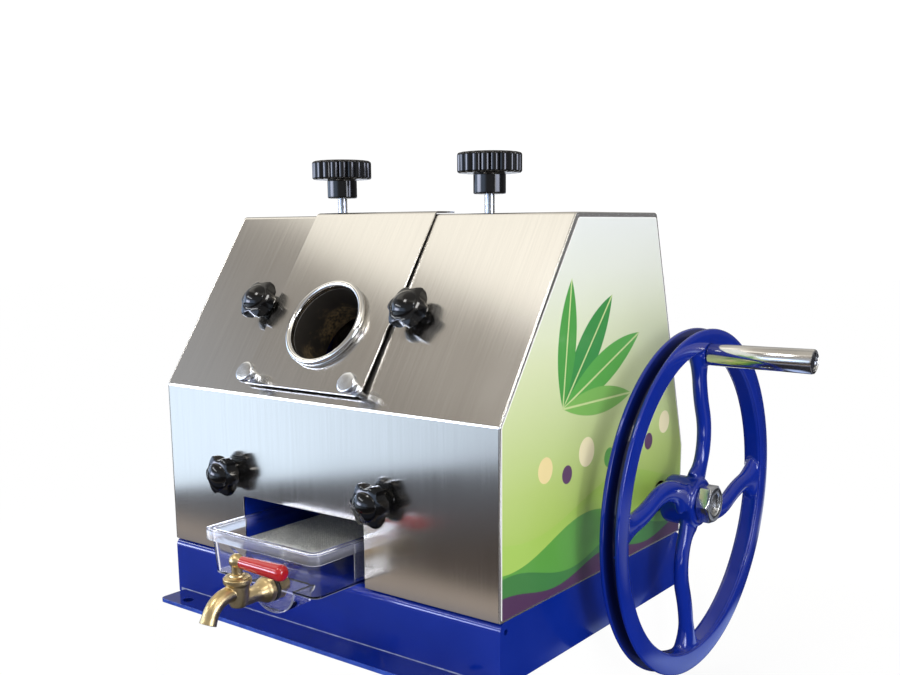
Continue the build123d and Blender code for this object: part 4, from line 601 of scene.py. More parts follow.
def makePanel(p):
    # drawn flat with X across, Y up the slope and Z out of it
    wide, tall, high = p["right"] - p["left"], p["bendStart"] - p["low"], p["topHigh"]
    panel = flatSheet(wide, tall, ((p["left"] + p["right"]) / 2, p["low"] + tall / 2, high))
    editMode()
    pickVerts(panel, lambda place: place.y < p["low"] + 1e-5)
    bpy.ops.mesh.bevel(offset=p["corner"], segments=6, affect="VERTICES")
    selectAll()
    turnAboutX(math.atan((p["lowHigh"] - high) / tall), (0, p["bendStart"], high))
    # bend the top edge over and run it back along the cover's top
    pickVerts(panel, lambda place: place.y > p["bendStart"] - 1e-5)
    turn = math.radians(p["bend"]) / p["bendSteps"]
    for _ in range(p["bendSteps"]):
        extrudeBy(zero)
        turnAboutX(turn, (0, p["bendStart"], p["bendInside"]))
    turn *= p["bendSteps"]
    extrudeBy(Vector((0, math.cos(turn), -math.sin(turn))) * p["flatEnd"])
    cleanUp()
    applyModifier(panel, "SOLIDIFY", thickness=p["sheet"], offset=-1.0)
    combine(panel, plainRod(p["hole"], -0.02, 0.02, (mill["x"], p["holeUp"], 0), alongZ, 96))
    roundEdges(panel, 0.0004, 3, 40)
    # stand it on the slope
    panel.matrix_world = Matrix.Translation(slope["foot"]) @ Matrix(
        (Vector(alongX), slope["up"], slope["out"])).transposed().to_4x4()
    return panel


finishPiece(
    makePanel(panelSizes), "feed_panel_sheet", wrapSteel, "frame", "feed_panel",
    40, True)

# printed film over the right side panel, drawn along the panel's outline
filmSizes = {
    "x": 0.2, "thick": 0.0003, "hole": 0.0152, "corner": 0.002,
    "outline": [(-0.1586, 0.0578), (-0.1586, 0.2130), (-0.0478, 0.3713), (0.0896, 0.3713), (0.1584, 0.1457),
                (0.1584, 0.0578)],
    "border": 0.0009, "borderTone": (0.88, 0.88, 0.87), "bottom": 0.058, "top": 0.376,
    "ramp": [
        (0.00, (0.30, 0.50, 0.035)), (0.30, (0.44, 0.57, 0.17)), (0.62, (0.64, 0.70, 0.44)),
        (0.85, (0.72, 0.75, 0.68)), (1.00, (0.73, 0.76, 0.76)),
    ],
    # rolling bands: middle height, swing, waves per metre, shift, colour
    "bands": [
        (0.128, 0.014, 3.4, 0.9, (0.36, 0.55, 0.10)),
        (0.106, 0.012, 4.3, 2.3, (0.10, 0.33, 0.05)),
        (0.083, 0.009, 5.2, 0.2, (0.05, 0.20, 0.05)),
        (0.070, 0.006, 6.1, 1.4, (0.075, 0.030, 0.085)),
    ],
    # leaves from one foot: tip in Y and Z, half-width, colour
    "leafFoot": (-0.070, 0.215), "rib": (0.55, 0.66, 0.30),
    "leaves": [
        ((0.010, 0.305), 0.017, (0.045, 0.26, 0.06)), ((0.062, 0.268), 0.015, (0.10, 0.38, 0.07)),
        ((-0.058, 0.322), 0.014, (0.07, 0.32, 0.06)), ((0.048, 0.214), 0.012, (0.20, 0.46, 0.10)),
    ],
    # round drops: Y and Z, radius, colour
    "drops": [
        ((-0.096, 0.168), 0.011, (0.80, 0.66, 0.33)), ((-0.062, 0.158), 0.008, (0.11, 0.05, 0.12)),
        ((-0.030, 0.172), 0.013, (0.86, 0.78, 0.50)), ((0.010, 0.160), 0.009, (0.10, 0.34, 0.07)),
        ((0.046, 0.174), 0.012, (0.80, 0.66, 0.33)), ((0.086, 0.162), 0.008, (0.11, 0.05, 0.12)),
        ((0.118, 0.176), 0.011, (0.86, 0.78, 0.50)),
    ],
}


def discMask(tree, y, z, centre, radius):
    return softGrade(tree, fromPoint(tree, y, z, centre), radius - 0.0003, radius + 0.0003, 1, 0)


def filmMaterial(p):
    material, tree, shader = newMaterial("printed_film", {"Coat Weight": 0.25, "Coat Roughness": 0.12})
    x, y, z = objectXyz(tree)
    colour = colourRamp(tree, grade(tree, z, p["bottom"], p["top"]), p["ramp"])
    for middle, swing, waves, shift, tint in p["bands"]:
        wave = calc(tree, "SINE", calc(tree, "MULTIPLY_ADD", y, waves * math.tau, shift))
        edge = calc(tree, "MULTIPLY_ADD", wave, swing, middle)
        mask = softGrade(tree, calc(tree, "SUBTRACT", edge, z), -0.0003, 0.0003)
        colour = mixColours(tree, mask, colour, tint)
    for tip, half, tint in p["leaves"]:
        # a leaf is where two wide circles overlap
        a, b = Vector(p["leafFoot"]), Vector(tip)
        middle, along = (a + b) / 2, (b - a)
        length = along.length / 2
        radius = (length * length + half * half) / (2 * half)
        side = Vector((-along.y, along.x)).normalized()
        discs = [discMask(tree, y, z, middle + side * sign * (radius - half), radius) for sign in (-1, 1)]
        mask = calc(tree, "MINIMUM", *discs)
        rib = apart(tree, toward(tree, y, z, side), middle.dot(side))
        onRib = product(tree, mask, grade(tree, rib, 0.0006, 0.0012, 1, 0))
        colour = mixColours(tree, onRib, mixColours(tree, mask, colour, tint), p["rib"])
    for centre, radius, tint in p["drops"]:
        colour = mixColours(tree, discMask(tree, y, z, centre, radius), colour, tint)
    # a thin white border along every edge but the bottom one
    for start, end in zip(p["outline"], p["outline"][1:]):
        a, b = Vector(start), Vector(end)
        out = Vector((a.y - b.y, b.x - a.x)).normalized()
        edge = a.dot(out) - p["border"]
        mask = grade(tree, toward(tree, y, z, out), edge - 0.0002, edge + 0.0002)
        colour = mixColours(tree, mask, colour, p["borderTone"])
    setInputs(tree, shader, {"Base Color": colour, "Roughness": mottled(tree, 24.0, 0.28, 0.40)})
    addBump(tree, shader, rippled(tree, 60.0, 0.8), 0.02, 0.0006)
    return material


def makeFilm(p):
    film = drawLine([Vector((p["x"], y, z)) for y, z in p["outline"]])
    bpy.ops.mesh.edge_face_add()
    bpy.ops.mesh.select_mode(type="VERT")
    selectAll()
    bpy.ops.mesh.bevel(offset=p["corner"], segments=5, affect="VERTICES")
    selectAll()
    extrudeBy((p["thick"], 0, 0))
    cleanUp()
    applyPlace()
    combine(film, plainRod(p["hole"], -0.01, 0.01, (p["x"], *wheelAxis), alongX, 48))
    return film


finishPiece(
    makeFilm(filmSizes), "side_film", filmMaterial(filmSizes), "frame", "side_decal", 30)
print("panel and film made")

# feed port: a tube with a rolled lip, turned round the slope's normal
portSizes = {
    "up": 0.075, "bore": 0.0374, "wall": 0.002, "lip": 0.0032, "lipMiddle": 0.0402, "lipOut": 0.0086,
    "depth": 0.042, "stand": 0.0038, "flange": 0.008, "sheet": 0.0015, "polishEnd": 0.0050,
    "polish": (0.80, 0.79, 0.77), "dullAndShaded": (0.030, 0.026, 0.022), "juice": (0.34, 0.24, 0.12),
}


def portMaterial(p):
    # polished lip; the neck and the bore are dull and coloured near black as painted shade, with brown juice
    # dried on in patches
    material, tree, shader = newMaterial("polished_steel")
    place = addNode(tree, "TexCoord").outputs["Object"]
    reach = addNode(tree, "VectorMath", {0: place, 1: slope["out"]}, operation="DOT_PRODUCT")
    height = reach.outputs["Value"]
    level = slope["foot"].dot(slope["out"]) + p["polishEnd"]
    dullAndShaded = grade(tree, height, level - 0.0004, level + 0.0004, 1, 0)
    deep = grade(tree, height, level - 0.010, level - 0.016)
    stain = product(tree, largest(tree, mottled(tree, 26.0, -0.8, 1.0), 0.0), mottled(tree, 330.0), deep)
    # painted shade: the bore's base colour is near black, with the juice patches over it
    bore = mixColours(tree, stain, p["dullAndShaded"], p["juice"])
    setInputs(tree, shader, {
        "Base Color": mixColours(tree, dullAndShaded, p["polish"], bore),
        "Metallic": calc(tree, "MULTIPLY_ADD", dullAndShaded, -0.75, 1.0),
        "Roughness": calc(tree, "MULTIPLY_ADD", dullAndShaded, 0.3, mottled(tree, 60.0, 0.08, 0.14))})
    return material


def makePort(p):
    # bore, rolled lip, then a neck down to a flange behind the panel
    outer = p["bore"] + p["wall"]
    flangeTop = p["stand"] - p["sheet"]
    profile = [(-p["depth"], p["bore"]), (p["lipOut"] - 0.003, p["bore"])]
    profile += arcPoints((p["lipOut"], p["lipMiddle"]), p["lip"], -125, 160, 25)
    profile += [
        (p["stand"], outer), (flangeTop, outer),
        (flangeTop, outer + p["flange"]), (flangeTop - p["sheet"], outer + p["flange"]),
        (flangeTop - p["sheet"], outer), (-p["depth"], outer), (-p["depth"], p["bore"]),
    ]
    return turned(profile, slopePoint(mill["x"], p["up"], 0), slope["out"], 96)


finishPiece(
    makePort(portSizes), "feed_port_tube", portMaterial(portSizes), "frame",
    "feed_port", 30)

# panel bolts: a round head on a thin stem, standing clear of the panel above its nut
boltSizes = {
    "up": 0.015, "left": -0.078, "right": 0.048, "stem": 0.003, "inside": 0.012, "rise": 0.010,
    "stand": 0.0049, "head": 0.0098, "headHeight": 0.0055,
    "nutFlats": 0.010, "nutHeight": 0.005, "nutBore": 0.0031,
}


def makePanelBolt(p):
    foot, low, stem, head = p["rise"], -p["inside"], p["stem"], p["head"]
    top = foot + p["headHeight"]
    profile = [(low, 0), (low, stem - 0.0005), (low + 0.0005, stem)]
    profile += [(foot - 0.0012, stem), (foot, stem + 0.0012)]
    profile += arcPoints((foot + 0.0012, head - 0.0012), 0.0012, 180, 90, 5)
    profile += arcPoints((top - 0.0018, head - 0.0018), 0.0018, 90, 0, 6)
    profile += [(top + 0.0002, head * 0.45), (top + 0.0003, 0)]
    return turned(profile, zero, alongZ, 40)


def makeNut(p):
    # a six-sided block, its corners cut back by a turned shape, then bored
    flats, height, bore = p["nutFlats"], p["nutHeight"], p["nutBore"]
    corner = flats / math.sqrt(3)
    startClean()
    bpy.ops.mesh.primitive_cylinder_add(vertices=6, radius=corner, depth=height, location=(0, 0, height / 2))
    nut = bpy.context.object
    applyPlace()
    wide, rim = corner * 1.02, flats / 2 * 0.96
    drop = (wide - rim) * math.tan(math.radians(30))
    combine(nut, turned([
        (0, 0), (0, rim), (drop, wide), (height - drop, wide), (height, rim), (height, 0),
    ], zero, alongZ, 48), "INTERSECT")
    combine(nut, turned([
        (-0.001, 0), (-0.001, bore * 1.12), (bore * 0.12, bore), (height - bore * 0.12, bore),
        (height + 0.001, bore * 1.12), (height + 0.001, 0),
    ], zero, alongZ, 48))
    roundEdges(nut, flats * 0.012, 2, 25)
    return nut


def placeBolts(p):
    pair = {"bolt": makePanelBolt(p), "nut": makeNut(p)}
    pairs = {"left": pair, "right": {kind: copyPiece(piece) for kind, piece in pair.items()}}
    for side, pieces in pairs.items():
        for kind, piece in pieces.items():
            standAt(piece, slopePoint(p[side], p["up"], p["stand"]), slope["out"])
            finishPiece(piece, f"panel_{kind}_{side}", zincPlate, "frame", f"panel_{kind}s", 30)


placeBolts(boltSizes)
print("port and panel bolts made")

# star knobs: six lobes round a domed cap, on a hub with a stud
starSizes = {
    "hub": 0.010, "hubHeight": 0.007, "gap": 0.0003, "stud": 0.004, "studLength": 0.022,
    "reach": 0.0205, "lobes": 6, "perLobe": 16, "height": 0.0125, "lean": 0.0042, "edge": 0.0007,
    "outline": (1.0, 0.985, 0.945, 0.89, 0.835, 0.795, 0.765, 0.75, 0.745),  # lobe's tip to the valley
    "cap": 0.0128, "capRise": 0.0056, "capStep": 0.0007, "capRings": 14,
    "frontZ": 0.136, "slopeUp": 0.092, "frontY": -0.160,
}


def makeStarKnob(p):
    count = p["lobes"] * p["perLobe"]
    low = p["gap"] + p["hubHeight"]
    high = low + p["height"]
    shoulder = high - p["lean"]
    reach, cap, hub, stud, gap = p["reach"], p["cap"], p["hub"], p["stud"], p["gap"]
    knob = startRing(count, reach, zero, "NGON")
    editMode()
    # pull the points between the lobes towards the axis
    for step, share in enumerate(p["outline"]):
        pickVerts(knob, lambda place, step=step: stepsAway(place, 0, count, p["perLobe"]) == step)
        resizeAt(zero, share, share, 1)
    selectAll()
    bpy.ops.transform.translate(value=(0, 0, low))
    extrudeBy((0, 0, p["height"] + 0.02))
    cleanUp()
    # cut the star to a leaning shoulder in front and a taper behind
    combine(knob, turned([
        (low - 0.001, 0), (low - 0.001, reach * 0.80), (low + 0.0035, reach * 0.97),
        (shoulder - 0.002, reach * 1.04), (shoulder, reach * 1.02),
        (high - p["lean"] * 0.45, reach * 0.86), (high, cap), (high, 0),
    ], zero, alongZ, 72), "INTERSECT")
    roundEdges(knob, p["edge"], 3, 28)
    # the domed cap and the hub
    ball = (cap ** 2 + p["capRise"] ** 2) / (2 * p["capRise"])
    top = high + p["capStep"] + p["capRise"]
    radii = [cap * i / p["capRings"] for i in range(p["capRings"], -1, -1)]
    dome = turned([
        (high - 0.003, 0), (high - 0.003, cap - 0.0002), (high + p["capStep"] * 0.4, cap + 0.0002),
    ] + [(top - ball + math.sqrt(ball * ball - r * r), r) for r in radii], zero, alongZ, 72)
    stem = turned([
        (-p["studLength"], 0), (-p["studLength"], stud - 0.0006), (0.0006 - p["studLength"], stud),
        (gap, stud), (gap, hub - 0.0008), (gap + 0.0008, hub), (low - 0.001, hub),
        (low + 0.001, hub + 0.001), (low + 0.002, 0),
    ], zero, alongZ, 48)
    return joinPieces(knob, dome, stem)


def placeStarKnobs(p):
    seats = {}
    for side in ("left", "right"):
        x = mill[side + "Cheek"]
        seats[f"front_{side}_star_knob"] = (x, p["frontY"], p["frontZ"]), (0, -1, 0)
        seats[f"slope_{side}_star_knob"] = slopePoint(x, p["slopeUp"], 0), slope["out"]
    first = makeStarKnob(p)
    knobs = [first] + [copyPiece(first) for _ in range(len(seats) - 1)]
    for knob, (seat, (place, normal)) in zip(knobs, sorted(seats.items())):
        standAt(knob, place, normal)
        finishPiece(knob, seat + "_moulding", blackPlastic, seat, seat, 24)


placeStarKnobs(starSizes)
print("star knobs made")

# pressure knobs: a plain hub under a wide fluted cap
pressureSizes = {
    "hub": 0.015, "foot": 0.3935, "hubHeight": 0.0185, "cap": 0.030, "capHeight": 0.020,
    "flutes": 20, "perFlute": 8, "grooves": (0.0027, 0.0015, 0.0005, 0.0001), "edge": 0.0024,
    "screwLow": 0.272, "screwHigh": 0.408, "screw": 0.005, "root": 0.0043, "pitch": 0.0016,
}


def makePressureKnob(p, x):
    count = p["flutes"] * p["perFlute"]
    centre = (x, 0, p["foot"])
    hub, cap, edge = p["hub"], p["cap"], p["edge"]
    radius = hub * 0.4
    knob = startRing(count, radius, centre)
    editMode()
    # raise the ring by each rise, then widen it to each new radius
    for rise, newRadius in [
        (0, hub - 0.001), (0.0003, hub - 0.0003), (0.0008, hub), (0.0006, hub),
        (p["hubHeight"] - 0.0033, hub), (0.0006, hub), (0.0008, hub + 0.0005),
        (0.0004, cap - 0.0022), (0.0004, cap - 0.0008), (0.0010, cap),
        (0.0006, cap), (p["capHeight"] - 0.0041 - edge, cap), (0.0006, cap), (edge * 0.45, cap - edge * 0.15),
        (edge * 0.35, cap - edge * 0.5), (edge * 0.20, cap - edge * 1.2), (0.0003, cap - edge * 2.4),
        (0.0004, cap * 0.6), (0.0003, cap * 0.3), (0.0001, cap * 0.06),
    ]:
        extrudeBy((0, 0, rise))
        resizeAt(centre, newRadius / radius, newRadius / radius, 1)
        radius = newRadius
    bpy.ops.mesh.edge_face_add()

    def fromAxis(place):
        return math.hypot(place.x - x, place.y)

    # grooves between the ribs: pull every eighth row of the cap in most, its neighbours less
    for step, depth in enumerate(p["grooves"]):
        pickVerts(knob, lambda place, step=step: (
            fromAxis(place) > cap - 1.4 * edge and stepsAway(place, x, count, p["perFlute"]) == step))
        resizeAt(centre, 1 - depth / cap, 1 - depth / cap, 1)
    pickVerts(knob, lambda place: place.z < p["foot"] + 1e-5 and fromAxis(place) < hub * 0.5)
    bpy.ops.mesh.edge_face_add()
    cleanUp()
    return knob


def makeScrew(p, x):
    # ridges all the way up, pointed at the crest
    low, high, root, pitch = p["screwLow"], p["screwHigh"], p["root"], p["pitch"]
    profile = [(low, 0), (low, root)]
    for index in range(int((high - low - 0.002) / pitch)):
        at = low + 0.001 + index * pitch
        profile += [(at, root), (at + pitch * 0.44, p["screw"]), (at + pitch * 0.56, p["screw"])]
    profile += [(high - 0.0006, root), (high, root - 0.0004), (high, 0)]
    return turned(profile, (x, 0, 0), alongZ, 40)


def finishPair(left, name, material, node, smooth):
    right = copyPiece(left)
    right.location.x += mill["rightCheek"] - mill["leftCheek"]
    for side, piece in (("left", left), ("right", right)):
        finishPiece(
            piece, f"{side}_{name}", material, side + "_pressure_screw", f"{side}_{node}", smooth)


finishPair(makeScrew(pressureSizes, mill["leftCheek"]), "thread", zincPlate, "pressure_screw", 25)
finishPair(
    makePressureKnob(pressureSizes, mill["leftCheek"]), "knob_moulding", blackPlastic,
    "pressure_knob", 40)
print("pressure knobs made")

# hand wheel: grooved rim, S-shaped spokes on a long hub, boss for the handle
wheelSizes = {
    "rear": 0.2265, "front": 0.245, "radius": 0.166, "inner": 0.1465, "grooveDepth": 0.012,
    "grooveTop": 0.0115, "grooveBottom": 0.0055, "edge": 0.0014, "hub": 0.0235, "hubRear": 0.210,
    "spokeWide": 0.0102, "spokeDeep": 0.0062, "spokes": 4, "turn": 2.0, "perRing": 28, "arcSteps": 22,
    "start": (0.003, 0.018), "bulge": (0.0185, 0.052), "bend": (0.013, 0.086), "end": (0.0, 0.1515),
    "hubFillet": 0.018, "rimFillet": 0.027, "boss": 0.011, "handle": 0.142, "forward": -0.0008,
    "nutFlats": 0.033, "nutHeight": 0.0135, "nutBore": 0.0101, "voxel": 0.00115, "smoothing": 9,
    "hubWider": 0.5, "rimWider": 1.35, "hubDeeper": 0.05, "rimDeeper": 0.35,
    "shadeHalf": 0.0062, "shadeTop": 0.1655, "shade": (0.0008, 0.0035, 0.045),
}


def shadeGroove(material, p):
    # painted shade: the rim's groove is coloured nearly black and made rougher
    tree, shader = shaderOf(material)
    x, y, z = objectXyz(tree)
    floor, top = p["radius"] - p["grooveDepth"], p["shadeTop"]
    radius = fromPoint(tree, y, z, wheelAxis)
    fromMiddle = apart(tree, x, (p["rear"] + p["front"]) / 2)
    inside = grade(tree, fromMiddle, p["shadeHalf"] - 0.0008, p["shadeHalf"], 1, 0)
    deep = grade(tree, radius, floor - 0.001, floor - 0.0005)
    groove = product(tree, inside, deep, grade(tree, radius, top - 0.006, top, 1.0, 0.55))
    setInputs(tree, shader, {
        "Base Color": mixColours(tree, groove, fedBy(shader, "Base Color"), p["shade"]),
        "Roughness": calc(tree, "MULTIPLY_ADD", groove, 0.4, fedBy(shader, "Roughness"))})


def makeRim(p):
    rear, front, inner, radius = p["rear"], p["front"], p["inner"], p["radius"]
    mid, floor = (rear + front) / 2, radius - p["grooveDepth"]
    top, bottom = p["grooveTop"] / 2, p["grooveBottom"] / 2
    rim = turned([
        (rear, inner), (front, inner), (front, radius), (mid + top, radius), (mid + bottom, floor),
        (mid - bottom, floor), (mid - top, radius), (rear, radius), (rear, inner),
    ], (0, *wheelAxis), alongX, 160)
    roundEdges(rim, p["edge"], 3, 25)
    return rim


def makeSpoke(p):
    # a flattened ring pushed along two arcs, wider where it meets the hub and the rim
    turn = math.radians(-p["turn"])
    lateral = Vector((0, math.cos(turn), math.sin(turn)))
    radial = Vector((0, -math.sin(turn), math.cos(turn)))
    origin = Vector(((p["rear"] + p["front"]) / 2 + p["forward"], *wheelAxis))

    def place(point):
        return origin + lateral * point.x + radial * point.y

    start, bend, end = Vector(p["start"]), Vector(p["bend"]), Vector(p["end"])
    first = circleThrough(p["start"], p["bulge"], p["bend"])
    firstSweep = sweepAngle(first, start, bend)
    second = tangentArcCentre(bend, headingAt(bend, first, firstSweep), end)
    perRing = p["perRing"]
    spoke = startRing(perRing, 1.0)
    # the ring's own axes: X along the wheel's axis, Y across the spoke, Z along its line
    heading = headingAt(start, first, firstSweep)
    along = lateral * heading.x + radial * heading.y
    axial = Vector(alongX)
    ringTurn = Matrix((axial, along.cross(axial), along)).transposed().to_4x4()
    spoke.matrix_world = Matrix.Translation(place(start)) @ ringTurn @ Matrix.Diagonal(
        (p["spokeDeep"], p["spokeWide"], 1, 1))
    applyPlace()
    editMode()
    selectAll()
    for centre, sweep in ((first, firstSweep), (second, sweepAngle(second, bend, end))):
        bpy.ops.mesh.spin(
            steps=p["arcSteps"], angle=-sweep, center=place(centre), axis=lateral.cross(radial))
    # widen the rings near the hub and near the rim
    mesh = bmesh.from_edit_mesh(spoke.data)
    for ring in range(len(mesh.verts) // perRing):
        mesh.verts.ensure_lookup_table()
        members = [mesh.verts[i] for i in range(ring * perRing, (ring + 1) * perRing)]
        middle = sum((vert.co for vert in members), Vector()) / perRing
        away = math.hypot(middle.y - wheelAxis[0], middle.z - wheelAxis[1])
        nearHub = min(1.0, max(0.0, 1 - (away - p["hub"]) / p["hubFillet"]))
        nearRim = min(1.0, max(0.0, 1 - (p["inner"] - away) / p["rimFillet"]))
        wide = 1 + p["hubWider"] * nearHub ** 2 + p["rimWider"] * nearRim ** 2
        deep = 1 + p["hubDeeper"] * nearHub ** 2 + p["rimDeeper"] * nearRim
        if wide < 1.001:
            continue
        for vert in mesh.verts:
            vert.select = False
        for vert in members:
            vert.select = True
        mesh.select_flush(True)
        bmesh.update_edit_mesh(spoke.data)
        resizeAt(middle, deep, wide, wide)
        mesh = bmesh.from_edit_mesh(spoke.data)
    closeEnds()
    return spoke


def makeSpider(p):
    rear, hub, boss, inner = p["rear"], p["hub"], p["boss"], p["inner"]
    width, hubLength = p["front"] - rear, p["front"] - p["hubRear"]
    middle = turned([
        (0, 0), (0, hub - 0.003), (0.0009, hub - 0.0009), (0.003, hub), (hubLength - 0.003, hub),
        (hubLength - 0.0009, hub - 0.0009), (hubLength, hub - 0.003), (hubLength, 0),
    ], (p["hubRear"], *wheelAxis), alongX, 72)
    spokes = [makeSpoke(p)]
    for index in range(1, p["spokes"]):
        spokes.append(copyPiece(spokes[0]))
        turnAboutX(math.tau * index / p["spokes"], (0, *wheelAxis))
        applyPlace()
    lean = math.radians(p["turn"])
    handleY = wheelAxis[0] + p["handle"] * math.sin(lean)
    handleZ = wheelAxis[1] + p["handle"] * math.cos(lean)
    handleBoss = turned([
        (0.0002, 0), (0.0002, boss - 0.001), (0.0012, boss), (width - 0.0012, boss),
        (width - 0.0002, boss - 0.001), (width - 0.0002, 0),
    ], (rear, handleY, handleZ), alongX, 48)
    band = turned([
        (0.0012, inner - 0.0011), (width - 0.0012, inner - 0.0011), (width - 0.0016, inner + 0.0032),
        (0.0016, inner + 0.0032), (0.0012, inner - 0.0011),
    ], (rear, *wheelAxis), alongX, 160)
    spider = joinPieces(middle, *spokes, handleBoss, band)
    meltTogether(spider, p["voxel"], p["smoothing"])
    return spider


shadeGroove(rimBlue, wheelSizes)
finishPiece(makeRim(wheelSizes), "hand_wheel_rim", rimBlue, "hand_wheel", "hand_wheel", 40)
finishPiece(
    makeSpider(wheelSizes), "hand_wheel_spider", castBlue, "hand_wheel", "hand_wheel", 60)
wheelNut = makeNut(wheelSizes)
standAt(wheelNut, (wheelSizes["front"], *wheelAxis), alongX)
finishPiece(wheelNut, "wheel_hex_nut", zincPlate, "hand_wheel", "wheel_nut", 25)
print("hand wheel made")

# handle: a polished sleeve over a spindle whose slotted head sits in its end
handleSizes = {
    "start": 0.2455, "end": 0.3435, "root": 0.0104, "tip": 0.01125, "y": 0.117956, "z": 0.244645,
    "spindle": 0.006, "head": 0.008, "headHeight": 0.003, "recess": 0.0012, "gap": 0.0004,
    "slot": (0.0034, 0.0016, 0.03), "slotTurn": 35,
}


def makeGrip(p):
    length, root, tip, pocketWide = p["end"] - p["start"], p["root"], p["tip"], p["head"] + p["gap"]
    pocket = length - p["recess"] - p["headHeight"] - p["gap"]
    bore = p["spindle"] + 0.00003
    return turned([
        (0, bore), (0, root - 0.0012), (0.0004, root - 0.0004), (0.0012, root),
        (length * 0.55, root + 0.0003),
        (length - 0.0016, tip), (length - 0.0005, tip - 0.0005), (length, tip - 0.0016),
        (length, pocketWide + 0.0004), (length - 0.0004, pocketWide), (pocket, pocketWide),
        (pocket, bore), (0, bore),
    ], (p["start"], p["y"], p["z"]), alongX, 72)


def makeSpindle(p):
    wide, head, high, rear = p["spindle"], p["head"], p["headHeight"], wheelSizes["rear"]
    headFoot = p["end"] - p["recess"] - high
    foot = headFoot - rear
    spindle = turned([
        (0, 0), (0, wide - 0.0006), (0.0006, wide), (foot, wide), (foot, head), (foot + high * 0.55, head),
        (foot + high * 0.9, head * 0.88), (foot + high, head * 0.6), (foot + high, 0),
    ], (rear, p["y"], p["z"]), alongX, 56)
    combine(spindle, solidBlock(p["slot"], (headFoot + high, p["y"], p["z"]), p["slotTurn"]))
    return spindle


finishPiece(makeGrip(handleSizes), "handle_sleeve", brightChrome, "handle_grip", "handle_grip", 30)
finishPiece(makeSpindle(handleSizes), "handle_screw", zincPlate, "hand_wheel", "handle_spindle", 30)
print("handle made")

# juice tray: a rounded box drawn up ring by ring, folded over into a rim, with a round sump below its front
traySizes = {
    "x": -0.0195, "y": -0.072, "bottom": 0.0561, "top": 0.098, "lowWide": 0.130, "lowLong": 0.272,
    "corner": 0.0075, "wall": 0.002, "draft": 0.0025, "rimReach": 0.0035, "rimDrop": 0.0105,
    "rimWall": 0.0015, "sumpX": -0.009, "sumpZ": 0.058, "sump": 0.0245, "sumpWide": 1.12,
    "sumpFront": -0.208, "sumpBack": -0.181,
    "tapX": -0.007, "tapY": -0.212, "tapZ": 0.0575, "tapHole": 0.0062,
    "tints": ((0.93, 0.93, 0.98), (0.97, 0.97, 0.995)), "shadowTint": (0.90, 0.90, 0.96),
    # painted glow in the edges: a band below the rim, lines by height, half-width and share, then foot and
    # sump
    "glow": (0.72, 0.76, 1.0), "glowStrength": 0.5, "band": (0.0870, 0.0930, 0.0, 0.09), "lineShare": 0.5,
    "lines": [(0.0978, 0.0006, 0.11), (0.0878, 0.0007, 0.06)], "floorLine": 0.0563,
    "lit": -0.170, "dark": -0.150,
    "frost": (0.0868, 0.0874, 0.0, 0.05),
}


def clearPlasticMaterial(p):
    # clear moulded plastic with a faint lilac cast; a painted glow (emission) lights its edges and fades
    # towards the back, and light passes it for shadows
    material, tree, shader = twoTone("clear_plastic", {
        "Transmission Weight": 1.0, "IOR": 1.42, "Metallic": 0.0, "Emission Strength": p["glowStrength"],
    }, 14.0, *p["tints"], 30.0, 0.03, 0.07)
    x, y, z = objectXyz(tree)
    floor, front = p["floorLine"], p["sumpFront"]
    glows = [grade(tree, z, *p["band"])]
    glows += [product(tree, edgeLine(tree, z, level, half), share) for level, half, share in p["lines"]]
    beside = [
        grade(tree, apart(tree, place, p[middle]), p[size] / 2 - 0.003, p[size] / 2 - 0.002)
        for place, middle, size in ((x, "x", "lowWide"), (y, "y", "lowLong"))]
    footLine = product(tree, edgeLine(tree, z, floor, 0.0009), largest(tree, *beside))
    across = product(tree, calc(tree, "SUBTRACT", x, p["sumpX"]), 1 / p["sumpWide"])
    radius = lengthOf(tree, across, calc(tree, "SUBTRACT", z, p["sumpZ"]))
    below = grade(tree, z, floor - 0.001, floor, 1, 0)
    inFront = grade(tree, y, front + 0.0012, front + 0.002, 1, 0)
    sumpLine = product(tree, edgeLine(tree, radius, p["sump"] - 0.0004, 0.001), below, inFront)
    glows.append(product(tree, largest(tree, footLine, sumpLine), p["lineShare"]))
    glow = product(tree, largest(tree, *glows), softGrade(tree, y, p["lit"], p["dark"], 1, 0))
    setInputs(tree, shader, {
        "Roughness": calc(tree, "ADD", fedBy(shader, "Roughness"), grade(tree, z, *p["frost"])),
        "Emission Color": mixColours(tree, glow, zero, p["glow"])})
    addBump(tree, shader, rippled(tree, 120.0, 1.0), 0.02, 0.0006)
    clear = addNode(tree, "BsdfTransparent", {"Color": p["shadowTint"]})
    shadowRay = addNode(tree, "LightPath").outputs["Is Shadow Ray"]
    showShader(tree, mixShaders(tree, shadowRay, shader, clear))
    return material


def makeTray(p):
    bottom, top, wall, draft = p["bottom"], p["top"], p["wall"], p["draft"]
    centre = (p["x"], p["y"], bottom)
    tray = flatSheet(p["lowWide"], p["lowLong"], centre)
    editMode()
    selectAll()
    bpy.ops.mesh.bevel(offset=p["corner"], segments=8, affect="VERTICES")
    selectAll()
    slopeOut = draft / (top - bottom)
    under, rimLow, rimOut = top - wall, top - p["rimDrop"], draft + p["rimReach"]
    rimIn = rimOut - p["rimWall"]
    height, offset = bottom, 0.0
    for newHeight, newOffset in [  # height, offset from the floor's outline
        (under, slopeOut * (under - bottom)), (under, rimIn), (rimLow, rimIn), (rimLow, rimOut),
        (top, rimOut), (top, draft - wall), (bottom + wall, slopeOut * wall - wall),
    ]:
        extrudeBy((0, 0, newHeight - height))
        shares = [(size + 2 * newOffset) / (size + 2 * offset) for size in (p["lowWide"], p["lowLong"])]
        resizeAt(centre, *shares, 1)
        height, offset = newHeight, newOffset
    cleanUp()
    roundEdges(tray, 0.0006, 2, 40)
    return tray


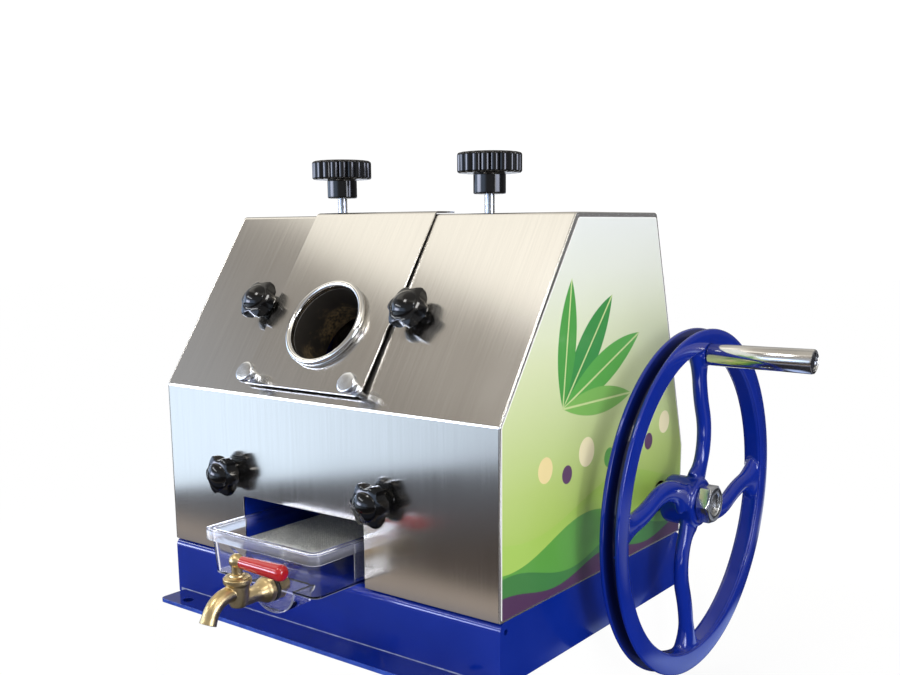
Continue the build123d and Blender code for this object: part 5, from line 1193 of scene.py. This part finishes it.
def halfTrough(p, inset, level):
    # the part of a lying cylinder that is below a level
    front, back = p["sumpFront"] + inset, p["sumpBack"] - inset
    trough = plainRod(p["sump"] - inset, 0, back - front, (p["sumpX"], front, p["sumpZ"]), alongY, 64)
    makeActive(trough)
    editMode()
    selectAll()
    resizeAt((p["sumpX"], 0, 0), p["sumpWide"], 1, 1)
    bpy.ops.mesh.bisect(plane_co=(0, 0, level), plane_no=alongZ, use_fill=True, clear_outer=True)
    cleanUp()
    return trough


def addSump(tray, p):
    floor = p["bottom"] + p["wall"]
    outer = halfTrough(p, 0, floor - 0.0004)
    roundEdges(outer, 0.0008, 2, 40)
    combine(tray, outer, "UNION")
    combine(tray, halfTrough(p, p["wall"], floor + 0.0004))
    combine(tray, plainRod(p["tapHole"], 0, 0.010, (p["tapX"], p["tapY"], p["tapZ"]), alongY, 40))
    return tray


finishPiece(
    addSump(makeTray(traySizes), traySizes), "juice_tray_moulding", clearPlasticMaterial(traySizes),
    "juice_tray", "juice_tray", 30)
print("tray made")

# strainer: one pierced cell repeated into a sheet, with turned-down sides
strainerSizes = {
    "left": -0.050, "right": 0.037, "front": -0.196, "back": 0.040, "top": 0.093, "foot": 0.0581,
    "sheet": 0.0006, "bend": 0.003, "bendSteps": 5, "overhang": 0.044, "pitch": 0.0026, "hole": 0.46,
}


def makeStrainer(p):
    bend, steps, left, right = p["bend"], p["bendSteps"], p["left"] + p["bend"], p["right"] - p["bend"]
    flatWide, flatLong = p["right"] - p["left"] - 2 * bend, p["back"] - p["front"]
    across, lengthwise = round(flatWide / p["pitch"]), round(flatLong / p["pitch"])
    cellWide, cellLong = flatWide / across, flatLong / lengthwise
    sheet = flatSheet(cellWide, cellLong, (left + cellWide / 2, p["front"] + cellLong / 2, p["top"]))
    editMode()
    selectAll()
    bpy.ops.mesh.inset(thickness=cellWide * (1 - p["hole"]) / 2, use_even_offset=True)
    bpy.ops.mesh.delete(type="FACE")
    objectMode()
    for count, move in ((across, (cellWide, 0, 0)), (lengthwise, (0, cellLong, 0))):
        applyModifier(
            sheet, "ARRAY", count=count, use_relative_offset=False, use_constant_offset=True,
            constant_offset_displace=move, use_merge_vertices=True, merge_threshold=1e-5)
    makeActive(sheet)
    editMode()
    foldStart = p["front"] + p["overhang"] - 0.001
    for side, edgeX in ((-1, left), (1, right)):
        pickVerts(sheet, lambda place, edgeX=edgeX: abs(place.x - edgeX) < 1e-5 and place.y > foldStart)
        for step in range(1, steps + 1):
            a0, a1 = math.pi / 2 * (step - 1) / steps, math.pi / 2 * step / steps
            extrudeBy((side * bend * (math.sin(a1) - math.sin(a0)), 0, bend * (math.cos(a1) - math.cos(a0))))
        extrudeBy((0, 0, p["foot"] + bend - p["top"]))
    cleanUp()
    applyModifier(sheet, "SOLIDIFY", thickness=p["sheet"], offset=-1.0)
    return sheet


finishPiece(
    makeStrainer(strainerSizes), "strainer_sheet", strainerSteel, "juice_tray",
    "strainer", 40)
print("strainer made")

# tap: cast body with inlet and bent spout, turned collar and flange, lever with a dipped sleeve
tapSizes = {
    "x": -0.007, "y": -0.247, "inletZ": 0.0575, "washer": -0.2125, "inside": -0.190, "thread": 0.006,
    "flange": 0.0114, "flangeThick": 0.006, "neck": 0.0072, "flare": 0.0115,
    "washerBack": -0.2084, "washerWide": 0.0117, "bottom": 0.0515, "bodyTop": 0.071,
    "low": 0.0078, "high": 0.0105, "collarTop": 0.078, "collar": 0.012, "stem": 0.0046,
    "spout": 0.0068, "bore": 0.0046, "spoutSteps": 20, "voxel": 0.00042, "smoothing": 7,
    "spoutLine": [(-0.249, 0.0635), (-0.267, 0.0625), (-0.2775, 0.0515), (-0.2802, 0.0456)],
    "leverZ": 0.0915, "ball": 0.0064, "arm": 0.0036, "armLength": 0.046,
    "sleeveStart": 0.007, "sleeveEnd": 0.058, "sleeveRoot": 0.0054, "sleeveTip": 0.0070,
    "sleeveRound": 0.0055,
}


def makeSpout(p):
    # a ring pushed round an arc, then straight down, a little wider at its mouth
    x, line = p["x"], [Vector(point) for point in p["spoutLine"]]
    centre = circleThrough(*line[:3])
    sweep = sweepAngle(centre, line[0], line[2])
    spout = startRing(32, p["spout"])
    standAt(spout, (x, *line[0]), (0, *headingAt(line[0], centre, sweep)))
    applyPlace()
    editMode()
    selectAll()
    bpy.ops.mesh.spin(steps=p["spoutSteps"], angle=-sweep, center=(x, *centre), axis=alongX)
    leave = headingAt(line[2], centre, sweep)
    run = (line[3] - line[2]).length
    for wider in (1.03, 1.05):
        extrudeBy((0, *(leave * run * 0.5)))
        bpy.ops.transform.resize(value=(wider, wider, wider))
    closeEnds()
    return spout, (x, *(line[2] + leave * run)), (0, *leave)


def makeTapBody(p):
    x, y, bottom, low, top, collar = p["x"], p["y"], p["bottom"], p["low"], p["bodyTop"], p["collar"]
    ringFoot, stem, flange, neck, thread = p["collarTop"], p["stem"], p["flange"], p["neck"], p["thread"]
    barrel = turned([
        (bottom, 0), (bottom, low - 0.0025), (bottom + 0.0008, low - 0.0008), (bottom + 0.003, low),
        (top - 0.008, p["high"] - 0.001), (top, p["high"]), (top + 0.0012, collar - 0.0004),
        (top + 0.0022, collar), (ringFoot - 0.001, collar), (ringFoot - 0.001, 0),
    ], (x, y, 0), alongZ, 56)
    length = p["washer"] - y
    flangeFoot = length - p["flangeThick"]
    flareStart = flangeFoot - p["flare"]
    profile = [(0, 0), (0, neck), (flareStart, neck)]
    for share in (0.25, 0.5, 0.75, 0.92):
        profile.append((flareStart + p["flare"] * share, neck + (flange - neck) * share ** 2))
    profile += [(flangeFoot + 0.0006, flange), (length - 0.0008, flange)]
    profile += [(length, flange - 0.0008), (length, 0)]
    inletNeck = turned(profile, (x, y, p["inletZ"]), alongY, 48)
    spout, mouth, leave = makeSpout(p)
    tap = joinPieces(barrel, inletNeck, spout)
    meltTogether(tap, p["voxel"], p["smoothing"])
    combine(tap, plainRod(p["bore"], -0.014, 0.004, mouth, leave, 40))
    # the threaded inlet through the wall and two thin rings on the collar
    reach = p["inside"] - p["washer"]
    inlet = turned([
        (0, 0), (0, thread), (reach - 0.001, thread), (reach, thread - 0.001), (reach, 0),
    ], (x, p["washer"] - 0.001, p["inletZ"]), alongY, 40)
    rings = turned([
        (ringFoot - 0.0012, 0), (ringFoot - 0.0012, collar - 0.0012), (ringFoot, collar - 0.0012),
        (ringFoot + 0.0006, collar - 0.002), (ringFoot + 0.0006, stem + 0.0022),
        (ringFoot + 0.0022, stem + 0.0018), (ringFoot + 0.0026, stem + 0.0002), (ringFoot + 0.0026, 0),
    ], (x, y, 0), alongZ, 48)
    return joinPieces(tap, inlet, rings)


def makeWasher(p):
    thick, wide, thread = p["washerBack"] - p["washer"], p["washerWide"], p["thread"]
    profile = [(0, thread), (0, wide - 0.001)]
    profile += arcPoints((0.001, wide - 0.001), 0.001, 180, 90, 5)
    profile += arcPoints((thick - 0.001, wide - 0.001), 0.001, 90, 0, 5)
    profile += [(thick, thread), (0, thread)]
    return turned(profile, (p["x"], p["washer"], p["inletZ"]), alongY, 56)


def makeLever(p):
    ball, arm = p["ball"], p["arm"]
    arc = [(-ball * math.cos(math.radians(a)), ball * math.sin(math.radians(a))) for a in range(0, 151, 15)]
    arc = [point for point in arc if not (point[0] > 0 and point[1] < arm)]
    profile = arc + [(ball * 0.88, arm), (p["armLength"], arm), (p["armLength"], 0)]
    return turned(profile, (p["x"], p["y"], p["leverZ"]), alongX, 48)


def makeSleeve(p):
    start, end, root, tip = p["sleeveStart"], p["sleeveEnd"], p["sleeveRoot"], p["sleeveTip"]
    bore, bulb = p["arm"] + 0.0001, p["sleeveRound"]
    profile = [(start + 0.006, 0), (start + 0.006, bore), (start, bore)]
    profile += [(start, root - 0.0006), (start + 0.0006, root), (end - bulb, tip)]
    profile += arcPoints((end - bulb, tip - bulb), bulb, 90, 12, 9)
    profile += [(end - 0.00002, 0.0008), (end, 0)]
    return turned(profile, (p["x"], p["y"], p["leverZ"]), alongX, 64)


for build, name, material, body, slotName, node in (
    (makeTapBody, "tap_casting", castBrass, "juice_tray", "brass", "tap_body"),
    (makeWasher, "tap_washer_ring", blackRubber, "juice_tray", "black_rubber", "tap_washer"),
    (makeLever, "lever_casting", castBrass, "tap_lever", "brass", "tap_lever"),
    (makeSleeve, "dipped_sleeve", redDip, "tap_lever", "red_sleeve", "lever_sleeve"),
):
    finishPiece(build(tapSizes), name, material, body, node, 40)
print("tap made")

# stage: a pale floor that fades into white, and a pale bench block with the wheel hanging past its edge
stageSizes = {
    "floor": -0.078, "reach": 8.0, "blockLeft": -0.2025, "blockRight": 0.2025, "blockDeep": 0.196,
    "gap": 0.0002,
    "pale": (0.93, 0.94, 0.95), "floorFade": (0.3, 1.1), "blockFade": (0.10, 0.30),
    "under": (0.184, 0.187), "underShadowTone": (0.02, 0.02, 0.024),
    # what metal and paint mirror of it: dim, a pool of light beside the wheel, paler at the back
    "dim": (0.025, 0.025, 0.03), "pool": (0.32, 0.34, 0.40), "back": (1.1, 1.17, 1.3),
    "poolStart": (0.22, 0.42), "poolEnd": (0.55, 0.85), "poolRight": (0.38, 0.46),
    "backStart": (0.55, 0.70), "backRight": (0.25, 0.42),
    # bright patches right of the machine and under the wheel: X and half-width, Y and half-length, colour
    "patches": [
        ((1.10, 0.35), (-0.25, 0.40), (5.0, 5.3, 5.8)), ((0.278, 0.040), (0.21, 0.17), (0.55, 0.70, 1.15)),
    ],
}


def seenThrough(rays):
    return "MINIMUM", rays["Transmission Depth"], 1.0


def paleMaterial(name, p, fade):
    # pale and matt near the machine, fading into the white surround; dim where metal and paint mirror it
    material, tree, shader = newMaterial(name, {"Roughness": 0.9})
    pale = mixColours(tree, mottled(tree, 3.0), tuple(c * 0.985 for c in p["pale"]), p["pale"])
    place = addNode(tree, "TexCoord").outputs["Object"]
    distance = addNode(tree, "VectorMath", {0: place}, operation="LENGTH").outputs["Value"]
    x, y, z = objectXyz(tree)
    # painted shadow: dark under the base
    farther = largest(tree, calc(tree, "ABSOLUTE", x), calc(tree, "ABSOLUTE", y))
    under = grade(tree, farther, *p["under"])
    setInputs(tree, shader, {"Base Color": mixColours(tree, under, p["underShadowTone"], pale)})
    fading = product(tree, softGrade(tree, distance, *fade, 0.9, 1.0), under)
    seen = mixShaders(tree, fading, shader, addNode(tree, "Emission", {"Color": (1, 1, 1)}))
    pool = product(
        tree, softGrade(tree, y, *p["poolStart"]), softGrade(tree, y, *p["poolEnd"], 1, 0),
        softGrade(tree, x, *p["poolRight"]))
    back = product(
        tree, softGrade(tree, y, *p["backStart"]), softGrade(tree, x, *p["backRight"], 1, 0))
    tone = mixColours(tree, back, mixColours(tree, pool, p["dim"], p["pool"]), p["back"])
    for wide, deep, colour in p["patches"]:
        patch = product(tree, edgeLine(tree, x, *wide), edgeLine(tree, y, *deep))
        tone = mixColours(tree, patch, tone, colour)
    # only for mirrored rays that have not passed the clear tray
    rays = addNode(tree, "LightPath").outputs
    direct = calc(tree, "SUBTRACT", 1.0, calc(tree, *seenThrough(rays)))
    mirrored = addNode(tree, "Emission", {"Color": tone})
    showShader(tree, mixShaders(tree, product(tree, rays["Is Glossy Ray"], direct), seen, mirrored))
    return material


def makeStage(p):
    startClean()
    bpy.ops.mesh.primitive_plane_add(size=2 * p["reach"], location=(0, 0, p["floor"]))
    floor = bpy.context.object
    floor.name = "floor"
    floor.data.materials.append(paleMaterial("pale_floor", p, p["floorFade"]))
    block = solidBlock(
        (p["blockRight"] - p["blockLeft"], 2 * p["blockDeep"], -p["floor"] - p["gap"]),
        ((p["blockRight"] + p["blockLeft"]) / 2, 0, (p["floor"] - p["gap"]) / 2))
    block.name = "bench_block"
    roundEdges(block, 0.004, 3, 30)
    block.data.materials.append(paleMaterial("pale_block", p, p["blockFade"]))


makeStage(stageSizes)

# light: soft boxes that light the paint, a card and a graded room that only the metal reflects
lamps = [  # name, place, aim, width, height, power, colour, seen in shiny pieces
    ("overheadBox", (-0.9, -1.0, 1.6), (0.0, -0.05, 0.2), 1.4, 1.2, 16.0, (1.0, 0.97, 0.93), False),
    ("edgeBox", (-0.10, -1.15, 1.75), (0.0, -0.05, 0.25), 0.4, 0.4, 8.0, (1.0, 0.98, 0.95), True),
    ("stripBox", (-1.364, -1.59, 1.10), (0.0, -0.16, 0.1), 1.6, 0.15, 7.5, (0.92, 0.96, 1.0), True),
    ("sideStrip", (2.0, -0.45, 0.30), (0.24, 0.11, 0.1), 0.22, 1.0, 5.0, (0.94, 0.97, 1.0), True),
    ("wheelBox", (1.5, -0.7, 1.5), (0.24, 0.11, 0.1), 0.3, 0.3, 5.0, (0.97, 0.98, 1.0), True),
    ("rightFill", (1.9, -0.6, 0.9), (0.1, 0.0, 0.15), 1.2, 1.2, 14.0, (0.96, 0.98, 1.0), False),
    ("backFill", (-0.4, 1.9, 1.3), (0.0, 0.0, 0.2), 1.6, 1.0, 16.0, (1.0, 0.98, 0.95), False),
]
for name, place, aim, width, height, power, colour, mirrored in lamps:
    startClean()
    bpy.ops.object.light_add(type="AREA", location=place)
    lamp = bpy.context.object
    lamp.name = name
    lamp.data.shape = "RECTANGLE"
    lamp.data.size, lamp.data.size_y = width, height
    lamp.data.energy, lamp.data.color = power, colour
    lamp.rotation_euler = (Vector(aim) - Vector(place)).to_track_quat("-Z", "Y").to_euler()
    lamp.visible_glossy = mirrored

# the front wall mirrors the floor before it: beige close by, then dark, then a bright cool bench top
# that starts along a slanting line
frontCard = {
    "left": -3.2, "right": 1.6, "near": -0.28, "far": -2.8, "height": -0.076,
    "line": (-0.808, -0.590), "lineAt": 1.0145, "lineSoft": 0.012,
    "eyeX": 0.647, "eyeY": 0.48, "fan": (-1.12, -0.66),
    "brightFar": (1.20, 1.43, 1.70), "brightNear": (0.70, 0.82, 0.98),
    "shadeFar": (0.11, 0.115, 0.135), "shadeNear": (0.080, 0.064, 0.055), "shadeFrom": (0.8, 0.5),
    "beige": (0.52, 0.44, 0.37), "beigeFrom": (-0.53, -0.485),
    "close": (0.15, 0.17, 0.24), "closeFrom": (-0.455, -0.42),
}


def makeCard(p):
    middle = ((p["left"] + p["right"]) / 2, (p["near"] + p["far"]) / 2, p["height"])
    card = flatSheet(p["right"] - p["left"], p["near"] - p["far"], middle)
    card.name = "front_card"
    material, tree, shader = newMaterial("front_card")
    tree.nodes.remove(shader)
    x, y, z = objectXyz(tree)
    slant = toward(tree, x, y, p["line"])
    bench = softGrade(tree, slant, p["lineAt"] - p["lineSoft"], p["lineAt"] + p["lineSoft"])
    # the bench top dims from left to right, fanned out from the mirrored eye
    fan = calc(
        tree, "DIVIDE", calc(tree, "SUBTRACT", x, p["eyeX"]), calc(tree, "SUBTRACT", p["eyeY"], y))
    bright = mixColours(tree, grade(tree, fan, *p["fan"]), p["brightFar"], p["brightNear"])
    shade = mixColours(tree, grade(tree, slant, *p["shadeFrom"]), p["shadeFar"], p["shadeNear"])
    colour = mixColours(tree, bench, shade, bright)
    colour = mixColours(tree, softGrade(tree, y, *p["beigeFrom"]), colour, p["beige"])
    colour = mixColours(tree, softGrade(tree, y, *p["closeFrom"]), colour, p["close"])
    showShader(tree, addNode(tree, "Emission", {"Color": colour}))
    card.data.materials.append(material)
    card.visible_camera = card.visible_diffuse = card.visible_shadow = card.visible_transmission = False


makeCard(frontCard)

# the room by height of the view: a dim ring, darker behind the machine, a cool window low at the
# front left and a bright warm ceiling that starts along a tilted line
roomSizes = {
    "front": [
        (0.00, (0.40, 0.40, 0.42)), (0.48, (0.46, 0.47, 0.50)), (0.765, (0.46, 0.47, 0.49)),
        (0.80, (0.33, 0.305, 0.275)), (0.83, (0.40, 0.365, 0.32)), (1.00, (0.43, 0.39, 0.34)),
    ],
    "back": [
        (0.00, (0.07, 0.07, 0.08)), (0.50, (0.12, 0.12, 0.13)), (0.60, (0.28, 0.28, 0.28)),
        (0.72, (0.40, 0.39, 0.37)), (1.00, (0.40, 0.38, 0.35)),
    ],
    # windows seen in shiny pieces only: direction, half-width, lowest and highest level, colour
    "strips": [
        ((-0.717, -0.697), 0.36, 0.0, 0.16, (12.0, 13.0, 16.5)),
        ((0.998, 0.070), 0.34, 0.0, 0.18, (10.5, 11.2, 14.0)),
    ],
    "behind": (-0.25, 0.45), "lean": 0.5, "window": (1.5, 1.9, 2.6), "windowToward": (-0.72, -0.69),
    "windowSide": (0.45, 0.8), "windowTop": (0.20, 0.29), "ceiling": (1.42, 1.36, 1.22), "tilt": 0.62,
    "ceilingFrom": (0.465, 0.52), "overhead": (0.80, 0.90, 1.0, 0.15), "ceilingBack": (0.0, 0.4, 1.0, 0.2),
    "white": 1.05,
}


def makeWorld(p):
    # white to the camera and through the tray, the graded room to everything else
    world = bpy.data.worlds.new("studio")
    bpy.context.scene.world = world
    world.use_nodes = True
    tree = world.node_tree
    tree.nodes.clear()
    x, y, z = objectXyz(tree, "Generated")
    rays = addNode(tree, "LightPath").outputs
    level = grade(tree, z, -1.0, 1.0)
    behind = softGrade(tree, calc(tree, "MULTIPLY_ADD", x, p["lean"], y), *p["behind"])
    colour = mixColours(tree, behind, colourRamp(tree, level, p["front"]), colourRamp(tree, level, p["back"]))
    leftFront = toward(tree, x, y, p["windowToward"])
    window = product(
        tree, softGrade(tree, leftFront, *p["windowSide"]), softGrade(tree, z, *p["windowTop"], 1, 0))
    colour = mixColours(tree, window, colour, p["window"])
    for direction, half, low, high, tint in p["strips"]:
        aside = toward(tree, x, y, (direction[1], -direction[0]))
        ahead = grade(tree, toward(tree, x, y, direction), 0.0, 0.1)
        between = edgeLine(tree, z, (low + high) / 2, (high - low) / 2 + 0.03)
        strip = product(tree, edgeLine(tree, aside, 0.0, half), ahead, between, rays["Is Glossy Ray"])
        colour = mixColours(tree, strip, colour, tint)
    lifted = calc(tree, "MULTIPLY_ADD", calc(tree, "MINIMUM", y, 0.0), p["tilt"], z)
    ceiling = product(
        tree, softGrade(tree, lifted, *p["ceilingFrom"]), softGrade(tree, z, *p["overhead"]),
        softGrade(tree, y, *p["ceilingBack"]))
    room = addNode(tree, "Background", {"Color": mixColours(tree, ceiling, colour, p["ceiling"])})
    white = addNode(tree, "Background", {"Color": (1, 1, 1), "Strength": p["white"]})
    plain = largest(tree, rays["Is Camera Ray"], calc(tree, *seenThrough(rays)))
    addNode(tree, "OutputWorld", {"Surface": mixShaders(tree, plain, room, white).outputs[0]})


makeWorld(roomSizes)
bpy.context.scene.view_settings.view_transform = "Standard"

# camera: where the photographer stood, right of the front and a little above
cameraSizes = {
    "place": (0.64674, -0.80002, 0.364), "turn": (79.6989, 0.4402, 37.3942),
    "lens": 41.834, "shiftX": -0.00464, "shiftY": 0.08829,
}
startClean()
bpy.ops.object.camera_add(
    location=cameraSizes["place"], rotation=[math.radians(a) for a in cameraSizes["turn"]])
camera = bpy.context.object
camera.name = "photoCamera"
camera.data.sensor_width = 36.0
camera.data.sensor_fit = "HORIZONTAL"
camera.data.lens = cameraSizes["lens"]
camera.data.shift_x = cameraSizes["shiftX"]
camera.data.shift_y = cameraSizes["shiftY"]
camera.data.dof.use_dof = False
bpy.context.scene.camera = camera
print("stage, light and camera set")
